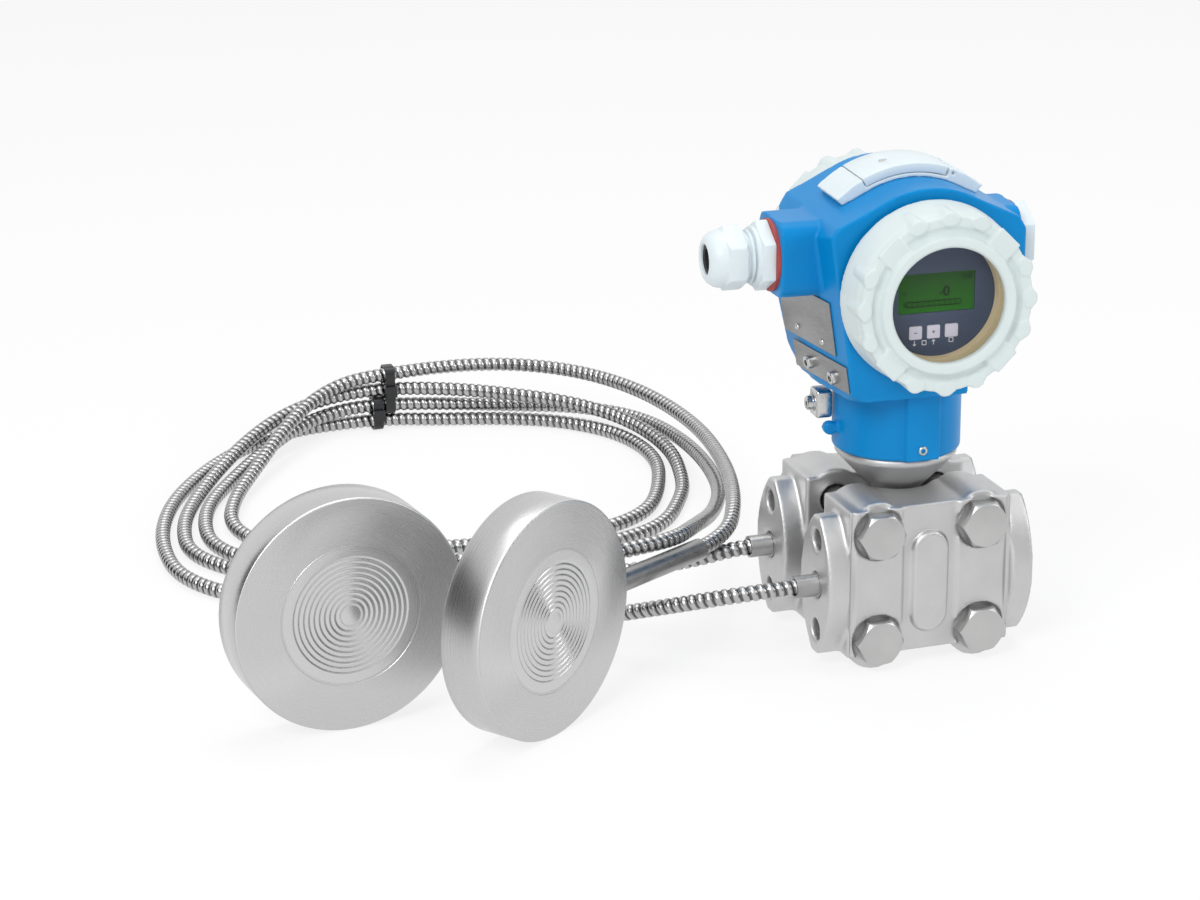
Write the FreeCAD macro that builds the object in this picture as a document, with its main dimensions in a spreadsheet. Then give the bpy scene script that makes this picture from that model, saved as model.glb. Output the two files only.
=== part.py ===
"""Differential pressure transmitter with two remote diaphragm seals, as a FreeCAD document.

Frame: +Z up, -Y is the display side, Z = 0 is the surface that it stands on, and the Z axis is the
axis about which the electronics housing turns on its neck.  All lengths are in millimetres.
"""
import math
import os
import re

import FreeCAD
import Part
import Sketcher

V = FreeCAD.Vector
doc = FreeCAD.newDocument("Transmitter")
sheet = doc.addObject("Spreadsheet::Sheet", "Sizes")

SIZES = {
    # process flanges and their fasteners
    "portHeight": 38, "flangeLength": 96.8, "flangeHeight": 63, "flangeBulge": 33,
    "flangeTip": 6, "flangeGap": 19, "panelWidth": 76, "panelTop": 35.5, "panelBottom": 31.5,
    "panelDepth": 29, "columnWidth": 24, "columnRise": 1.4, "columnSpacing": 51,
    "ovalWidth": 17.5, "ovalHeight": 47, "ovalRise": 1.6,
    "boltSpacingWide": 48.4, "boltSpacingTall": 48.6, "boltSize": 12, "boltFlats": 19,
    "boltHead": 7.5, "boltClearance": 0.6, "bossRadius": 14, "bossDepth": 28,
    "spotRadius": 11.6, "nutThickness": 10,
    "portHoleSpacing": 41.3, "portPlaneSpacing": 54, "portHoleRadius": 4.95,
    "upperHoleDepth": 16, "lowerHoleDepth": 15.4,
    "ferruleRadius": 4.9, "ferruleSeat": 5.6, "ferruleSeatDepth": 5, "ferruleLength": 10,
    "gasketThickness": 1.5, "gasketRadius": 22, "gasketBore": 17, "cellRadius": 26,
    # neck adapter
    "stemRadius": 9.2, "collarRadius": 10.8, "collarHeight": 2, "coneBottom": 68.4,
    "coneTop": 86.6, "ringRadius": 28.6, "neckBottom": 89.5, "neckRoom": 0.6, "spigotRadius": 21.9,
    "spigotTop": 110, "turnGap": 0.1,
    # housing
    "headTurn": -3.5, "headAxis": 168, "headHalfWidth": 47, "headHalfDepth": 34,
    "archRadius": 44, "shoulderHeight": 27, "sideTop": 163, "neckRadius": 31,
    "neckTop": 112, "neckShoulder": 35.5, "planFlat": 22, "planNarrowing": 3,
    "wallPlace": -16, "wallThickness": 4, "bossFlats": 33, "bossRound": 7,
    "entryHeight": 12, "entryPlace": -3, "leftEntry": 60, "rightEntry": 48,
    "entryBore": 10.1, "lockPadWidth": 16, "lockPadHeight": 10, "lockPadPlace": 31.9,
    "lugRadius": 3, "lugHole": 1.3,
    # covers
    "threadRadius": 36, "threadFit": 0.1, "threadDepth": 10, "coverGap": 2, "coverRadius": 42.5,
    "coverLip": 3, "coverDepth": 22, "coverNose": 41.4, "coverFace": 38.4, "coverBore": 33,
    "windowRadius": 25, "windowRing": 29.5, "windowRise": 2.8, "glassRadius": 30,
    "grooveOuter": 33.6, "grooveDepth": 0.8,
    "glassThickness": 5, "lobeRadius": 4.5, "lobeCircle": 38.1, "lobeAngle": 22,
    "ribWidth": 12, "ribRise": 0.8, "ribRoot": 0.9, "sealWire": 0.95,
    # display and electronics
    "bezelRadius": 25.6, "bezelPlace": 46, "bezelThickness": 8, "bezelFit": 0.05, "ringPlace": 51,
    "ringRadius": 32.4, "screenWidth": 34.2, "screenHeight": 17.2, "screenRaise": 2.2,
    "screenShift": -0.5, "screenDepth": 1.2, "keySize": 5.7, "keyPitch": 8.05,
    "keyDrop": 14.8, "keyShift": -1.6, "keyTravel": 0.6, "keyLength": 3.2, "keyFit": 0.12,
    "insertRadius": 32.4, "terminalWidth": 46, "terminalHeight": 24, "terminalDepth": 18,
    # protective flap over the operating keys
    "frameBase": 1.8, "frameTop": 5.8, "frameWidth": 26, "frameLeft": 43, "frameRight": 40,
    "flapLeft": 27, "flapRight": 18.6, "flapGap": 0.4, "flapHinge": 22.6,
    "knuckleRadius": 1.5, "knuckleWidth": 17, "pinRadius": 0.75, "pinFit": 0.05,
    "topKeyRadius": 2, "topKeyPitch": 9, "topKeyLength": 5, "topKeyTravel": 1,
    # cable gland and blanking plug
    "washerThickness": 1.5, "washerRadius": 15.6, "glandFlats": 27, "glandHex": 13,
    "glandThread": 10, "glandThreadLength": 12, "nutFlats": 25, "nutLength": 16,
    "nutStem": 9.6, "cableHole": 6.3, "plugFlats": 27, "plugThickness": 6,
    # plates and small parts on the side of the housing
    "plateThickness": 0.8, "plateTop": 162, "plateBottom": 136.5, "plateFront": -29,
    "plateBack": 31, "tagHeight": 10, "tagLength": 60, "tagPlace": 127,
    "tagScrewSpacing": 28, "tagScrewRadius": 3, "clampWidth": 12, "clampHeight": 13,
    "clampPlace": 9, "clampBottom": 100,
    # diaphragm seals
    "sealRadius": 51, "sealThickness": 20, "sealEdge": 0.8, "diaphragmRadius": 30,
    "diaphragmThickness": 0.7, "waveCount": 9, "waveInner": 5.3, "waveOuter": 26,
    "waveDepth": 0.55, "chamberDepth": 1.4, "tubeRadius": 4.75, "tubeLength": 68,
    "tubeSeat": 8, "socketDepth": 8, "socketFit": 0.15, "leftTubeFall": -1.5, "rightTubeFall": 3,
    "leftSealAcross": -255.4, "leftSealBack": -26.1, "leftSealTurn": 6.8,
    "rightSealAcross": -178.2, "rightSealBack": -61.4, "rightSealTurn": 34.8,
    # capillary lines
    "armourRadius": 3.5, "strandLow": 4.8, "strandPitch": 8.4, "upperBack": 356.3, "lowerBack": 357.1,
    "tiePlace": -133, "tieSpacing": 6.5, "tieWidth": 5, "tieThickness": 1, "tieFit": 1, "tieHead": 6,
}

for row, (alias, number) in enumerate(SIZES.items(), start=1):
    sheet.set(f"A{row}", alias)
    sheet.set(f"B{row}", str(number))
    sheet.setAlias(f"B{row}", alias)
doc.recompute()

WORDS = re.compile(r"\b(" + "|".join(sorted(SIZES, key=len, reverse=True)) + r")\b")
AXES = {"x": V(1, 0, 0), "y": V(0, 1, 0), "z": V(0, 0, 1)}


def size(alias):
    """The number in the sheet's cell."""
    return float(sheet.get(alias))


def bind(feature, target, formula):
    """Ties one property of a feature to a formula in the sheet's words."""
    feature.setExpression(target, WORDS.sub(r"Sizes.\1", str(formula)))


def move(feature, corner):
    for letter, formula in zip("xyz", corner):
        bind(feature, f"Placement.Base.{letter}", formula)


def point_along(feature, axis):
    """Turns a feature that is made along Z so that it runs along another axis."""
    feature.Placement = FreeCAD.Placement(V(), FreeCAD.Rotation(V(0, 0, 1), AXES[axis]))


def box(name, lengths, corner=()):
    made = doc.addObject("Part::Box", name)
    for target, formula in zip(("Length", "Width", "Height"), lengths):
        bind(made, target, formula)
    move(made, corner)
    return made


def rod(name, radius, length, start, axis="z"):
    made = doc.addObject("Part::Cylinder", name)
    point_along(made, axis)
    bind(made, "Radius", radius)
    bind(made, "Height", length)
    move(made, start)
    return made


def taper(name, first, last, length, start, axis="z"):
    made = doc.addObject("Part::Cone", name)
    point_along(made, axis)
    bind(made, "Radius1", first)
    bind(made, "Radius2", last)
    bind(made, "Height", length)
    move(made, start)
    return made


def hexagon(name, flats, length, start, axis):
    """A six-sided prism with flats above and below."""
    made = doc.addObject("Part::Prism", name)
    made.Polygon = 6
    point_along(made, axis)
    bind(made, "Circumradius", f"({flats}) / sqrt(3)")
    bind(made, "Height", length)
    move(made, start)
    return made


def join(label, pieces):
    made = doc.addObject("Part::MultiFuse", label)
    made.Shapes = pieces
    made.Refine = True
    return made


def overlap(label, pieces):
    made = doc.addObject("Part::MultiCommon", label)
    made.Shapes = pieces
    return made


def cut(label, base, tools):
    made = doc.addObject("Part::Cut", label)
    made.Base = base
    made.Tool = tools[0] if len(tools) == 1 else join(label + "_tools", tools)
    return made


def group(label, pieces):
    made = doc.addObject("Part::Compound", label)
    made.Links = pieces
    return made


def mirrored(label, source):
    """The same piece on the other side of the plane Y = 0."""
    made = doc.addObject("Part::Mirroring", label)
    made.Source = source
    made.Normal = V(0, 1, 0)
    return made


def origin_plane(body, role):
    return next(item for item in body.Origin.OriginFeatures if item.Role == role)


def outline(body, plane, points):
    """A closed sketch of straight lines whose corners are tied to the sheet."""
    drawing = body.newObject("Sketcher::SketchObject", body.Name + "_outline")
    drawing.AttachmentSupport = [(origin_plane(body, plane), "")]
    drawing.MapMode = "FlatFace"
    probe = [V(*[float(sheet_value(part)) for part in point], 0) for point in points]
    count = len(points)
    for index in range(count):
        drawing.addGeometry(Part.LineSegment(probe[index], probe[(index + 1) % count]))
    for index in range(count):
        drawing.addConstraint(Sketcher.Constraint("Coincident", index, 2, (index + 1) % count, 1))
    for index, (across, along) in enumerate(points):
        place_corner(drawing, index, "DistanceX", across, -2)
        place_corner(drawing, index, "DistanceY", along, -1)
    return drawing


def place_corner(drawing, index, kind, formula, axis):
    if str(formula) == "0":
        drawing.addConstraint(Sketcher.Constraint("PointOnObject", index, 1, axis))
        return
    number = sheet_value(formula)
    made = drawing.addConstraint(Sketcher.Constraint(kind, -1, 1, index, 1, number))
    bind(drawing, f"Constraints[{made}]", formula)


def sheet_value(formula):
    """The number that a formula in the sheet's words stands for."""
    words = WORDS.sub(lambda found: f"({size(found.group(1))})", str(formula))
    return float(FreeCAD.Units.parseQuantity(words).Value)


def turned(label, plane, points):
    """A body of revolution about its own vertical sketch axis."""
    body = doc.addObject("PartDesign::Body", label)
    drawing = outline(body, plane, points)
    spin = body.newObject("PartDesign::Revolution", label + "_spin")
    spin.Profile = drawing
    spin.ReferenceAxis = (drawing, ["V_Axis"])
    spin.Angle = 360
    return body


def padded(label, plane, points, length, midplane=False):
    """A body pushed out of a straight-sided outline."""
    body = doc.addObject("PartDesign::Body", label)
    drawing = outline(body, plane, points)
    pad = body.newObject("PartDesign::Pad", label + "_pad")
    pad.Profile = drawing
    bind(pad, "Length", length)
    pad.Midplane = midplane
    return body


def rectangle(width, height):
    return [(f"-({width}) / 2", f"-({height}) / 2"), (f"({width}) / 2", f"-({height}) / 2"),
            (f"({width}) / 2", f"({height}) / 2"), (f"-({width}) / 2", f"({height}) / 2")]


def rounded(label, plane, width, height, length, radius, centre):
    """A block with four rounded edges, padded evenly both ways from its centre."""
    body = padded(label, plane, rectangle(width, height), length, midplane=True)
    doc.recompute()
    pad = body.Tip
    direction = {"XY_Plane": V(0, 0, 1), "XZ_Plane": V(0, 1, 0), "YZ_Plane": V(1, 0, 0)}[plane]
    names = []
    for number, edge in enumerate(pad.Shape.Edges, start=1):
        if edge.tangentAt(edge.FirstParameter).cross(direction).Length < 1e-6:
            names.append(f"Edge{number}")
    round_off = body.newObject("PartDesign::Fillet", label + "_round")
    round_off.Base = (pad, names)
    bind(round_off, "Radius", radius)
    move(body, centre)
    return body


def on_head(feature):
    """Sets a piece, made square to the axes, on the turned electronics housing."""
    doc.recompute()
    for letter in "xyz":
        feature.setExpression(f"Placement.Base.{letter}", None)
    turn = FreeCAD.Placement(V(), FreeCAD.Rotation(V(0, 0, 1), size("headTurn")))
    feature.Placement = turn.multiply(feature.Placement)
    return feature


# ------------------------------------------------------------------ process flanges
FACE = "(flangeGap / 2)"


def flange():
    """The display-side flange: a lens-shaped bar with a panel, bolt bosses and port holes."""
    lens_radius = "((flangeHeight ^ 2 + (flangeBulge - flangeTip) ^ 2) / 4 / (flangeBulge - flangeTip))"
    middle = f"({FACE} + flangeBulge / 2)"
    offset = f"({lens_radius} - flangeBulge / 2)"
    outer = rod("flange_outer_arc", lens_radius, "flangeLength",
                ("-flangeLength / 2", f"-({middle} - {offset})", "portHeight"), "x")
    inner = rod("flange_inner_arc", lens_radius, "flangeLength",
                ("-flangeLength / 2", f"-({middle} + {offset})", "portHeight"), "x")
    ends = box("flange_ends", ("flangeLength", "flangeBulge", "flangeHeight"),
               ("-flangeLength / 2", f"-({FACE} + flangeBulge)", "portHeight - flangeHeight / 2"))
    pieces = [overlap("flange_lens", [outer, inner, ends])]
    pieces.append(box("flange_panel", ("panelWidth", "panelDepth", "panelTop + panelBottom"),
                      ("-panelWidth / 2", f"-({FACE} + panelDepth)", "portHeight - panelBottom")))
    for side in (-1, 1):
        pieces.append(box("flange_column",
                          ("columnWidth", "panelDepth + columnRise", "panelTop + panelBottom"),
                          (f"{side} * columnSpacing / 2 - columnWidth / 2",
                           f"-({FACE} + panelDepth + columnRise)", "portHeight - panelBottom")))
    for across, up in bolt_places():
        pieces.append(rod("flange_boss", "bossRadius", "bossDepth",
                          (across, f"-({FACE} + bossDepth)", up), "y"))
    depth = "(panelDepth + columnRise + ovalRise)"
    pieces.append(rounded("flange_oval", "XZ_Plane", "ovalWidth", "ovalHeight", depth,
                          "ovalWidth / 2 - 0.01",
                          ("0", f"-({FACE} + {depth} / 2)", "portHeight")))
    tools = [box("foot_cut", ("flangeLength", "flangeBulge * 2", "bossRadius"),
                 ("-flangeLength / 2", f"-({FACE} + flangeBulge * 2)", "-bossRadius"))]
    for across, up in bolt_places():
        tools.append(rod("bolt_hole", "boltSize / 2 + boltClearance", "flangeBulge * 2",
                         (across, f"-({FACE} + flangeBulge * 2)", up), "y"))
        tools.append(rod("bolt_spot", "spotRadius", "flangeBulge",
                         (across, f"-({FACE} + bossDepth + flangeBulge)", up), "y"))
    for end in (-1, 1):
        for way, depth in ((1, "upperHoleDepth"), (-1, "lowerHoleDepth")):
            tools.append(rod("port_hole", "portHoleRadius", depth,
                             (f"{end} * flangeLength / 2 - {depth} * {(1 + end) // 2}",
                              "-portPlaneSpacing / 2",
                              f"portHeight + {way} * portHoleSpacing / 2"), "x"))
    tools.append(rod("ferrule_seat", "ferruleSeat", "ferruleSeatDepth",
                     ("-flangeLength / 2", "-portPlaneSpacing / 2", "portHeight"), "x"))
    tools += neck_clearance()
    return cut("high_flange", join("flange_solid", pieces), tools)


def neck_clearance():
    """The room that the flange leaves round the adapter's collar and cone."""
    rise = "(coneTop - coneBottom)"
    return [rod("collar_room", "collarRadius + neckRoom", "coneBottom - portHeight",
                ("0", "0", "portHeight + cellRadius - 2")),
            taper("cone_room", "stemRadius + neckRoom", "ringRadius + neckRoom", rise,
                  ("0", "0", "coneBottom - neckRoom"))]


def bolt_places():
    """Across and up formulas of the four bolts."""
    return [(f"{across} * boltSpacingWide / 2", f"portHeight + {up} * boltSpacingTall / 2")
            for across in (-1, 1) for up in (-1, 1)]


def bolts():
    shank = "(flangeGap + bossDepth * 2 + nutThickness + 2)"
    made = []
    for across, up in bolt_places():
        head = hexagon("bolt_head", "boltFlats", "boltHead",
                       (across, f"-({FACE} + bossDepth + boltHead)", up), "y")
        crown = taper("bolt_crown", "boltFlats / 2", "boltFlats / 2 + 3", 3,
                      (across, f"-({FACE} + bossDepth + boltHead)", up), "y")
        rest = rod("bolt_bearing", "boltFlats / 2 + 3", "boltHead - 3",
                   (across, f"-({FACE} + bossDepth + boltHead - 3)", up), "y")
        crowned = overlap("bolt_crowned", [head, join("bolt_envelope", [crown, rest])])
        stem = rod("bolt_shank", "boltSize / 2", f"{shank} + boltHead / 2",
                   (across, f"-({FACE} + bossDepth + boltHead / 2)", up), "y")
        made.append(join("bolt", [crowned, stem]))
    return group("flange_bolts", made)


def nuts():
    made = []
    for across, up in bolt_places():
        start = (across, f"{FACE} + bossDepth", up)
        blank = hexagon("nut_blank", "boltFlats", "nutThickness", start, "y")
        bore = rod("nut_bore", "boltSize / 2 + 0.05", "nutThickness", start, "y")
        made.append(cut("nut", blank, [bore]))
    return group("flange_nuts", made)


def gasket():
    start = ("0", f"-{FACE}", "portHeight")
    ring = rod("gasket_ring", "gasketRadius", "gasketThickness", start, "y")
    bore = rod("gasket_bore", "gasketBore", "gasketThickness", start, "y")
    return cut("high_gasket", ring, [bore])


def sensor_cell():
    """The measuring cell between the flanges, with a flat on top for the neck adapter."""
    width = "(flangeGap - gasketThickness * 2)"
    drum = rod("cell_drum", "cellRadius", width, ("0", f"-{width} / 2", "portHeight"), "y")
    seat = box("cell_seat", ("collarRadius * 2", width, "10"),
               ("-collarRadius", f"-{width} / 2", "portHeight + cellRadius - 8"))
    return join("sensor_cell", [drum, seat])


def ferrule():
    """The stepped weld ferrule in the flange's end face, open for the capillary."""
    seat = ("-flangeLength / 2", "-portPlaneSpacing / 2", "portHeight")
    start = ("-flangeLength / 2 - ferruleLength", "-portPlaneSpacing / 2", "portHeight")
    pieces = [rod("ferrule_collar", "ferruleSeat", "ferruleSeatDepth", seat, "x"),
              rod("ferrule_sleeve", "ferruleRadius", "ferruleLength + ferruleSeatDepth / 2", start, "x")]
    bore = rod("ferrule_bore", "armourRadius + socketFit", "6", start, "x")
    return cut("high_ferrule", join("ferrule_solid", pieces), [bore])


def neck_adapter():
    top = "portHeight + cellRadius + 2"
    points = [("0", top), ("collarRadius", top), ("collarRadius", f"{top} + collarHeight"),
              ("stemRadius", f"{top} + collarHeight"), ("stemRadius", "coneBottom"),
              ("ringRadius - 1", "coneTop - 1"), ("ringRadius", "coneTop"),
              ("ringRadius", "neckBottom - turnGap"), ("spigotRadius", "neckBottom - turnGap"),
              ("spigotRadius", "spigotTop"), ("0", "spigotTop")]
    return turned("neck_adapter", "XZ_Plane", points)


# ------------------------------------------------------------------ electronics housing
def housing_form():
    """The housing seen from the display side, pushed from rim to rim: an arch over sloping sides."""
    depth = "headHalfDepth * 2"
    left = [("-neckShoulder", "neckTop"), ("-headHalfWidth", "sideTop"),
            ("-headHalfWidth", "headAxis + shoulderHeight - 8"),
            ("-headHalfWidth + 6", "headAxis + shoulderHeight + 2"),
            ("-archRadius / 2", "headAxis + archRadius * sqrt(3) / 2")]
    right = [(across[1:] if across[0] == "-" else across, up) for across, up in reversed(left)]
    right = [(across.replace("headHalfWidth + 6", "headHalfWidth - 6"), up) for across, up in right]
    front_view = padded("housing_front_view", "XZ_Plane", left + right, depth, midplane=True)
    arch = rod("housing_arch", "archRadius", depth, ("0", "-headHalfDepth", "headAxis"), "y")
    return join("housing_form", [front_view, arch])


def housing_plan():
    """The housing seen from above: its sides draw in towards both rims."""
    corner = "headHalfWidth - planNarrowing"
    plan = [(f"-({corner})", "-headHalfDepth"), (corner, "-headHalfDepth"),
            ("headHalfWidth", "-planFlat"), ("headHalfWidth", "planFlat"),
            (corner, "headHalfDepth"), (f"-({corner})", "headHalfDepth"),
            ("-headHalfWidth", "planFlat"), ("-headHalfWidth", "-planFlat")]
    return padded("housing_plan_view", "XY_Plane", plan, "headAxis * 2")


def housing():
    """The two-chamber die-cast housing on its neck, with two cable entries."""
    shell = overlap("housing_shell", [housing_form(), housing_plan(), neck_blend()])
    pieces = [shell, rod("housing_neck", "neckRadius", "headAxis - 20 - neckBottom",
                         ("0", "0", "neckBottom"))]
    height = "headAxis + entryHeight"
    reach = "(leftEntry + rightEntry)"
    pieces.append(rounded("housing_entries", "YZ_Plane", "bossFlats", "bossFlats", reach, "bossRound",
                          ("(rightEntry - leftEntry) / 2", "entryPlace", height)))
    pieces.append(rounded("housing_lock_pad", "XZ_Plane", "lockPadWidth", "lockPadHeight", "8", "2",
                          ("1.5", "-lockPadPlace + 4", "neckBottom + lockPadHeight / 2")))
    pieces.append(rod("housing_lug", "lugRadius", "3", ("-neckRadius - 2", "-2", "neckBottom + 9"), "y"))
    bore = "threadRadius + threadFit"
    tools = [rod("front_chamber", bore, "headHalfDepth + wallPlace + 40",
                 ("0", "-headHalfDepth - 40", "headAxis"), "y"),
             rod("rear_chamber", bore, "headHalfDepth - wallPlace - wallThickness + 40",
                 ("0", "wallPlace + wallThickness", "headAxis"), "y"),
             rod("neck_bore", "spigotRadius + threadFit", "spigotTop + 1 - neckBottom",
                 ("0", "0", "neckBottom")),
             rod("wire_hole", "8", "headAxis - spigotTop - 20", ("0", "8", "spigotTop")),
             rod("left_entry", "entryBore", "leftEntry", ("-leftEntry", "entryPlace", height), "x"),
             rod("right_entry", "entryBore", "rightEntry", ("0", "entryPlace", height), "x"),
             rod("lug_hole", "lugHole", "3", ("-neckRadius - 2", "-2", "neckBottom + 9"), "y"),
             rod("lock_hole", "2.1", "14", ("1.5", "-lockPadPlace - 1", "neckBottom + 5"), "y")]
    for spot in (-1, 0, 1):
        tools.append(rod("key_hole", "topKeyRadius + 0.1", "topKeyLength + topKeyTravel + 6",
                         (f"{spot} * topKeyPitch", "0", f"{key_top(spot)} - topKeyLength - topKeyTravel")))
    return on_head(cut("housing", join("housing_solid", pieces), tools))


def neck_blend():
    """The cone that leads from the round neck into the square housing above it."""
    return taper("neck_blend", "neckRadius", "neckRadius + headAxis", "headAxis", ("0", "0", "neckTop - 4"))


def key_top(spot):
    """Height of an operating key's head, which follows the arch."""
    return f"(headAxis + sqrt((archRadius + frameBase + 0.2) ^ 2 - ({spot} * topKeyPitch) ^ 2) - 0.4)"


def cover(label, side, window):
    """A screwed cover: thread, lip, tapered wall, ribbed face, with or without a window."""
    def out(place):
        return f"{side} * ({place})"

    lip = "headHalfDepth + coverGap"
    face = f"{lip} + coverDepth"
    points = [("threadRadius", f"{lip} - threadDepth - coverGap"), ("threadRadius", lip),
              ("coverRadius", lip), ("coverRadius", f"{lip} + coverLip"),
              ("coverNose", f"{face} - 5"), ("coverFace + 1", f"{face} - 1"), ("coverFace", face),
              ("grooveOuter", face), ("grooveOuter - 0.6", f"{face} - grooveDepth"),
              ("windowRing + 1", f"{face} - grooveDepth"), ("windowRing", f"{face} + windowRise"),
              ("windowRadius + 1", f"{face} + windowRise")]
    if window:
        points += [("windowRadius", f"{face} + windowRise - 1"), ("windowRadius", f"{face} - 1"),
                   ("glassRadius", f"{face} - 1"), ("glassRadius", f"{face} - 1 - glassThickness"),
                   ("coverBore", f"{face} - 1 - glassThickness")]
    else:
        points += [("windowRadius - 2", f"{face} + windowRise - 2"), ("0", f"{face} + windowRise - 2"),
                   ("0", f"{face} - 3"), ("coverBore", f"{face} - 3")]
    points.append(("coverBore", f"{lip} - threadDepth - coverGap"))
    shell = turned(label + "_shell", "XY_Plane", [(radius, out(place)) for radius, place in points])
    move(shell, ("0", "0", "headAxis"))
    start = f"{face} - 13" if side > 0 else f"-({face} + 0.8)"
    pieces = [shell]
    for quarter in range(4):
        for step in (-1, 0, 1):
            angle = f"({90 * quarter} + {step} * lobeAngle)"
            pieces.append(rod(label + "_lobe", "lobeRadius", "13.8",
                              (f"lobeCircle * cos({angle} * 1 deg)", start,
                               f"headAxis + lobeCircle * sin({angle} * 1 deg)"), "y"))
    for quarter in range(4):
        rib = box(label + "_rib", ("coverNose - windowRing - 0.4", "ribRoot + ribRise", "ribWidth"))
        pieces.append(set_rib(rib, quarter, side, face))
    return on_head(join(label, pieces))


def set_rib(rib, quarter, side, face):
    """Puts a rib across the cover's face on a diagonal."""
    turn = FreeCAD.Rotation(V(0, -1, 0), 45 + 90 * quarter)
    near = sheet_value("windowRing + 0.2")
    place = sheet_value(f"{face} - ribRoot") if side > 0 else -sheet_value(f"{face} + ribRise")
    offset = turn.multVec(V(near, 0, -size("ribWidth") / 2))
    rib.Placement = FreeCAD.Placement(V(offset.x, place, size("headAxis") + offset.z), turn)
    return rib


def cover_seal(label, side):
    """The O-ring between a cover's lip and the housing's rim."""
    made = doc.addObject("Part::Torus", label)
    point_along(made, "y")
    bind(made, "Radius1", "threadRadius + sealWire + 0.3")
    bind(made, "Radius2", "sealWire")
    move(made, ("0", f"{side} * (headHalfDepth + coverGap / 2)", "headAxis"))
    return on_head(made)


def window_glass():
    face = "(headHalfDepth + coverGap + coverDepth)"
    return on_head(rod("front_window", "glassRadius - 0.05", "glassThickness",
                       ("0", f"-({face} - 1)", "headAxis"), "y"))


def display_ring():
    length = "(ringPlace - bezelPlace + bezelThickness)"
    start = ("0", "-ringPlace", "headAxis")
    outer = rod("ring_outer", "ringRadius", length, start, "y")
    inner = rod("ring_inner", "bezelRadius + bezelFit", length, start, "y")
    return on_head(cut("display_ring", outer, [inner]))


def key_place(spot, place):
    return (f"keyShift + {spot} * keyPitch", place, "headAxis - keyDrop")


def display_bezel():
    disc = rod("bezel_disc", "bezelRadius", "bezelThickness", ("0", "-bezelPlace", "headAxis"), "y")
    tools = [box("bezel_screen_cut", ("screenWidth", "screenDepth", "screenHeight"),
                 ("screenShift - screenWidth / 2", "-bezelPlace",
                  "headAxis + screenRaise - screenHeight / 2"))]
    depth = "(keyLength + keyTravel + 0.2)"
    for spot in (-1, 0, 1):
        tools.append(rounded("bezel_key_cut", "XZ_Plane", "keySize + keyFit * 2",
                             "keySize + keyFit * 2", depth, "0.6 + keyFit",
                             key_place(spot, f"-bezelPlace + {depth} / 2")))
    return on_head(cut("display_bezel", disc, tools))


def screen():
    return on_head(box("display_screen",
                       ("screenWidth - 0.2", "screenDepth - 0.4", "screenHeight - 0.2"),
                       ("screenShift - screenWidth / 2 + 0.1", "-bezelPlace + 0.4",
                        "headAxis + screenRaise - screenHeight / 2 + 0.1")))


def display_keys():
    made = []
    for label, spot in (("minus_key", -1), ("plus_key", 0), ("enter_key", 1)):
        key = rounded(label, "XZ_Plane", "keySize", "keySize", "keyLength", "0.6",
                      key_place(spot, "-bezelPlace - 0.4 + keyLength / 2"))
        made.append(on_head(key))
    return made


def electronics_insert():
    start = "wallPlace"
    length = f"(bezelPlace - bezelThickness + {start})"
    return on_head(rod("electronics_insert", "insertRadius", length,
                       ("0", "-bezelPlace + bezelThickness", "headAxis"), "y"))


def terminal_block():
    start = "wallPlace + wallThickness"
    base = box("terminal_base", ("terminalWidth", "terminalDepth", "terminalHeight"),
               ("-terminalWidth / 2", start, "headAxis - 8 - terminalHeight / 2"))
    tools = []
    for spot in range(5):
        across = f"-terminalWidth / 2 + (0.5 + {spot}) * terminalWidth / 5"
        tools.append(rod("terminal_screw_hole", "2.6", "6",
                         (across, f"{start} + terminalDepth - 6", "headAxis - 12"), "y"))
    return on_head(cut("terminal_block", base, tools))


# ------------------------------------------------------------------ flap over the operating keys
def sector(name, inner, outer, width, left, right):
    """A strip bent round the housing's arch, from an angle left of the top to one right of it."""
    made = []
    for radius in (outer, inner):
        piece = doc.addObject("Part::Cylinder", name + "_round")
        bind(piece, "Radius", radius)
        bind(piece, "Height", width)
        bind(piece, "Angle", f"(({left}) + ({right})) * 1 deg")
        start = 90 - sheet_value(right)
        piece.Placement = FreeCAD.Placement(
            V(), FreeCAD.Rotation(V(1, 0, 0), 90).multiply(FreeCAD.Rotation(V(0, 0, 1), start)))
        move(piece, ("0", f"({width}) / 2", "headAxis"))
        made.append(piece)
    return cut(name, made[0], [made[1]])


def hinge_spot(radius, angle="flapHinge"):
    return (f"({radius}) * sin({angle} * 1 deg)", f"headAxis + ({radius}) * cos({angle} * 1 deg)")


def flap_frame():
    pieces = [sector("frame_base", "archRadius", "archRadius + frameBase", "frameWidth",
                     "frameLeft", "frameRight"),
              sector("frame_left_end", "archRadius + 0.5", "archRadius + frameTop", "frameWidth",
                     "frameLeft", "-flapLeft"),
              sector("frame_right_end", "archRadius + 0.5", "archRadius + frameTop", "frameWidth",
                     "-(flapHinge + 4.4)", "frameRight")]
    cheek = "((frameWidth - knuckleWidth) / 2 - 0.3)"
    for side in (-1, 1):
        piece = sector("frame_cheek", "archRadius + 0.5", "archRadius + frameTop", cheek,
                       "-(flapHinge - 2.2)", "flapHinge + 4.6")
        piece.Placement = FreeCAD.Placement(
            V(0, side * sheet_value("frameWidth / 2") - side * sheet_value(cheek) / 2, 0),
            FreeCAD.Rotation())
        pieces.append(piece)
    across, up = hinge_spot("archRadius + frameTop - 1.9")
    tools = [housing_form(),
             rod("hinge_bore", "pinRadius", "frameWidth", (across, "-frameWidth / 2", up), "y")]
    for spot in (-1, 0, 1):
        tools.append(rod("frame_key_hole", "topKeyRadius + 0.1", "20",
                         (f"{spot} * topKeyPitch", "0", "headAxis + archRadius - 8")))
    return on_head(cut("flap_frame", join("frame_solid", pieces), tools))


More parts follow.
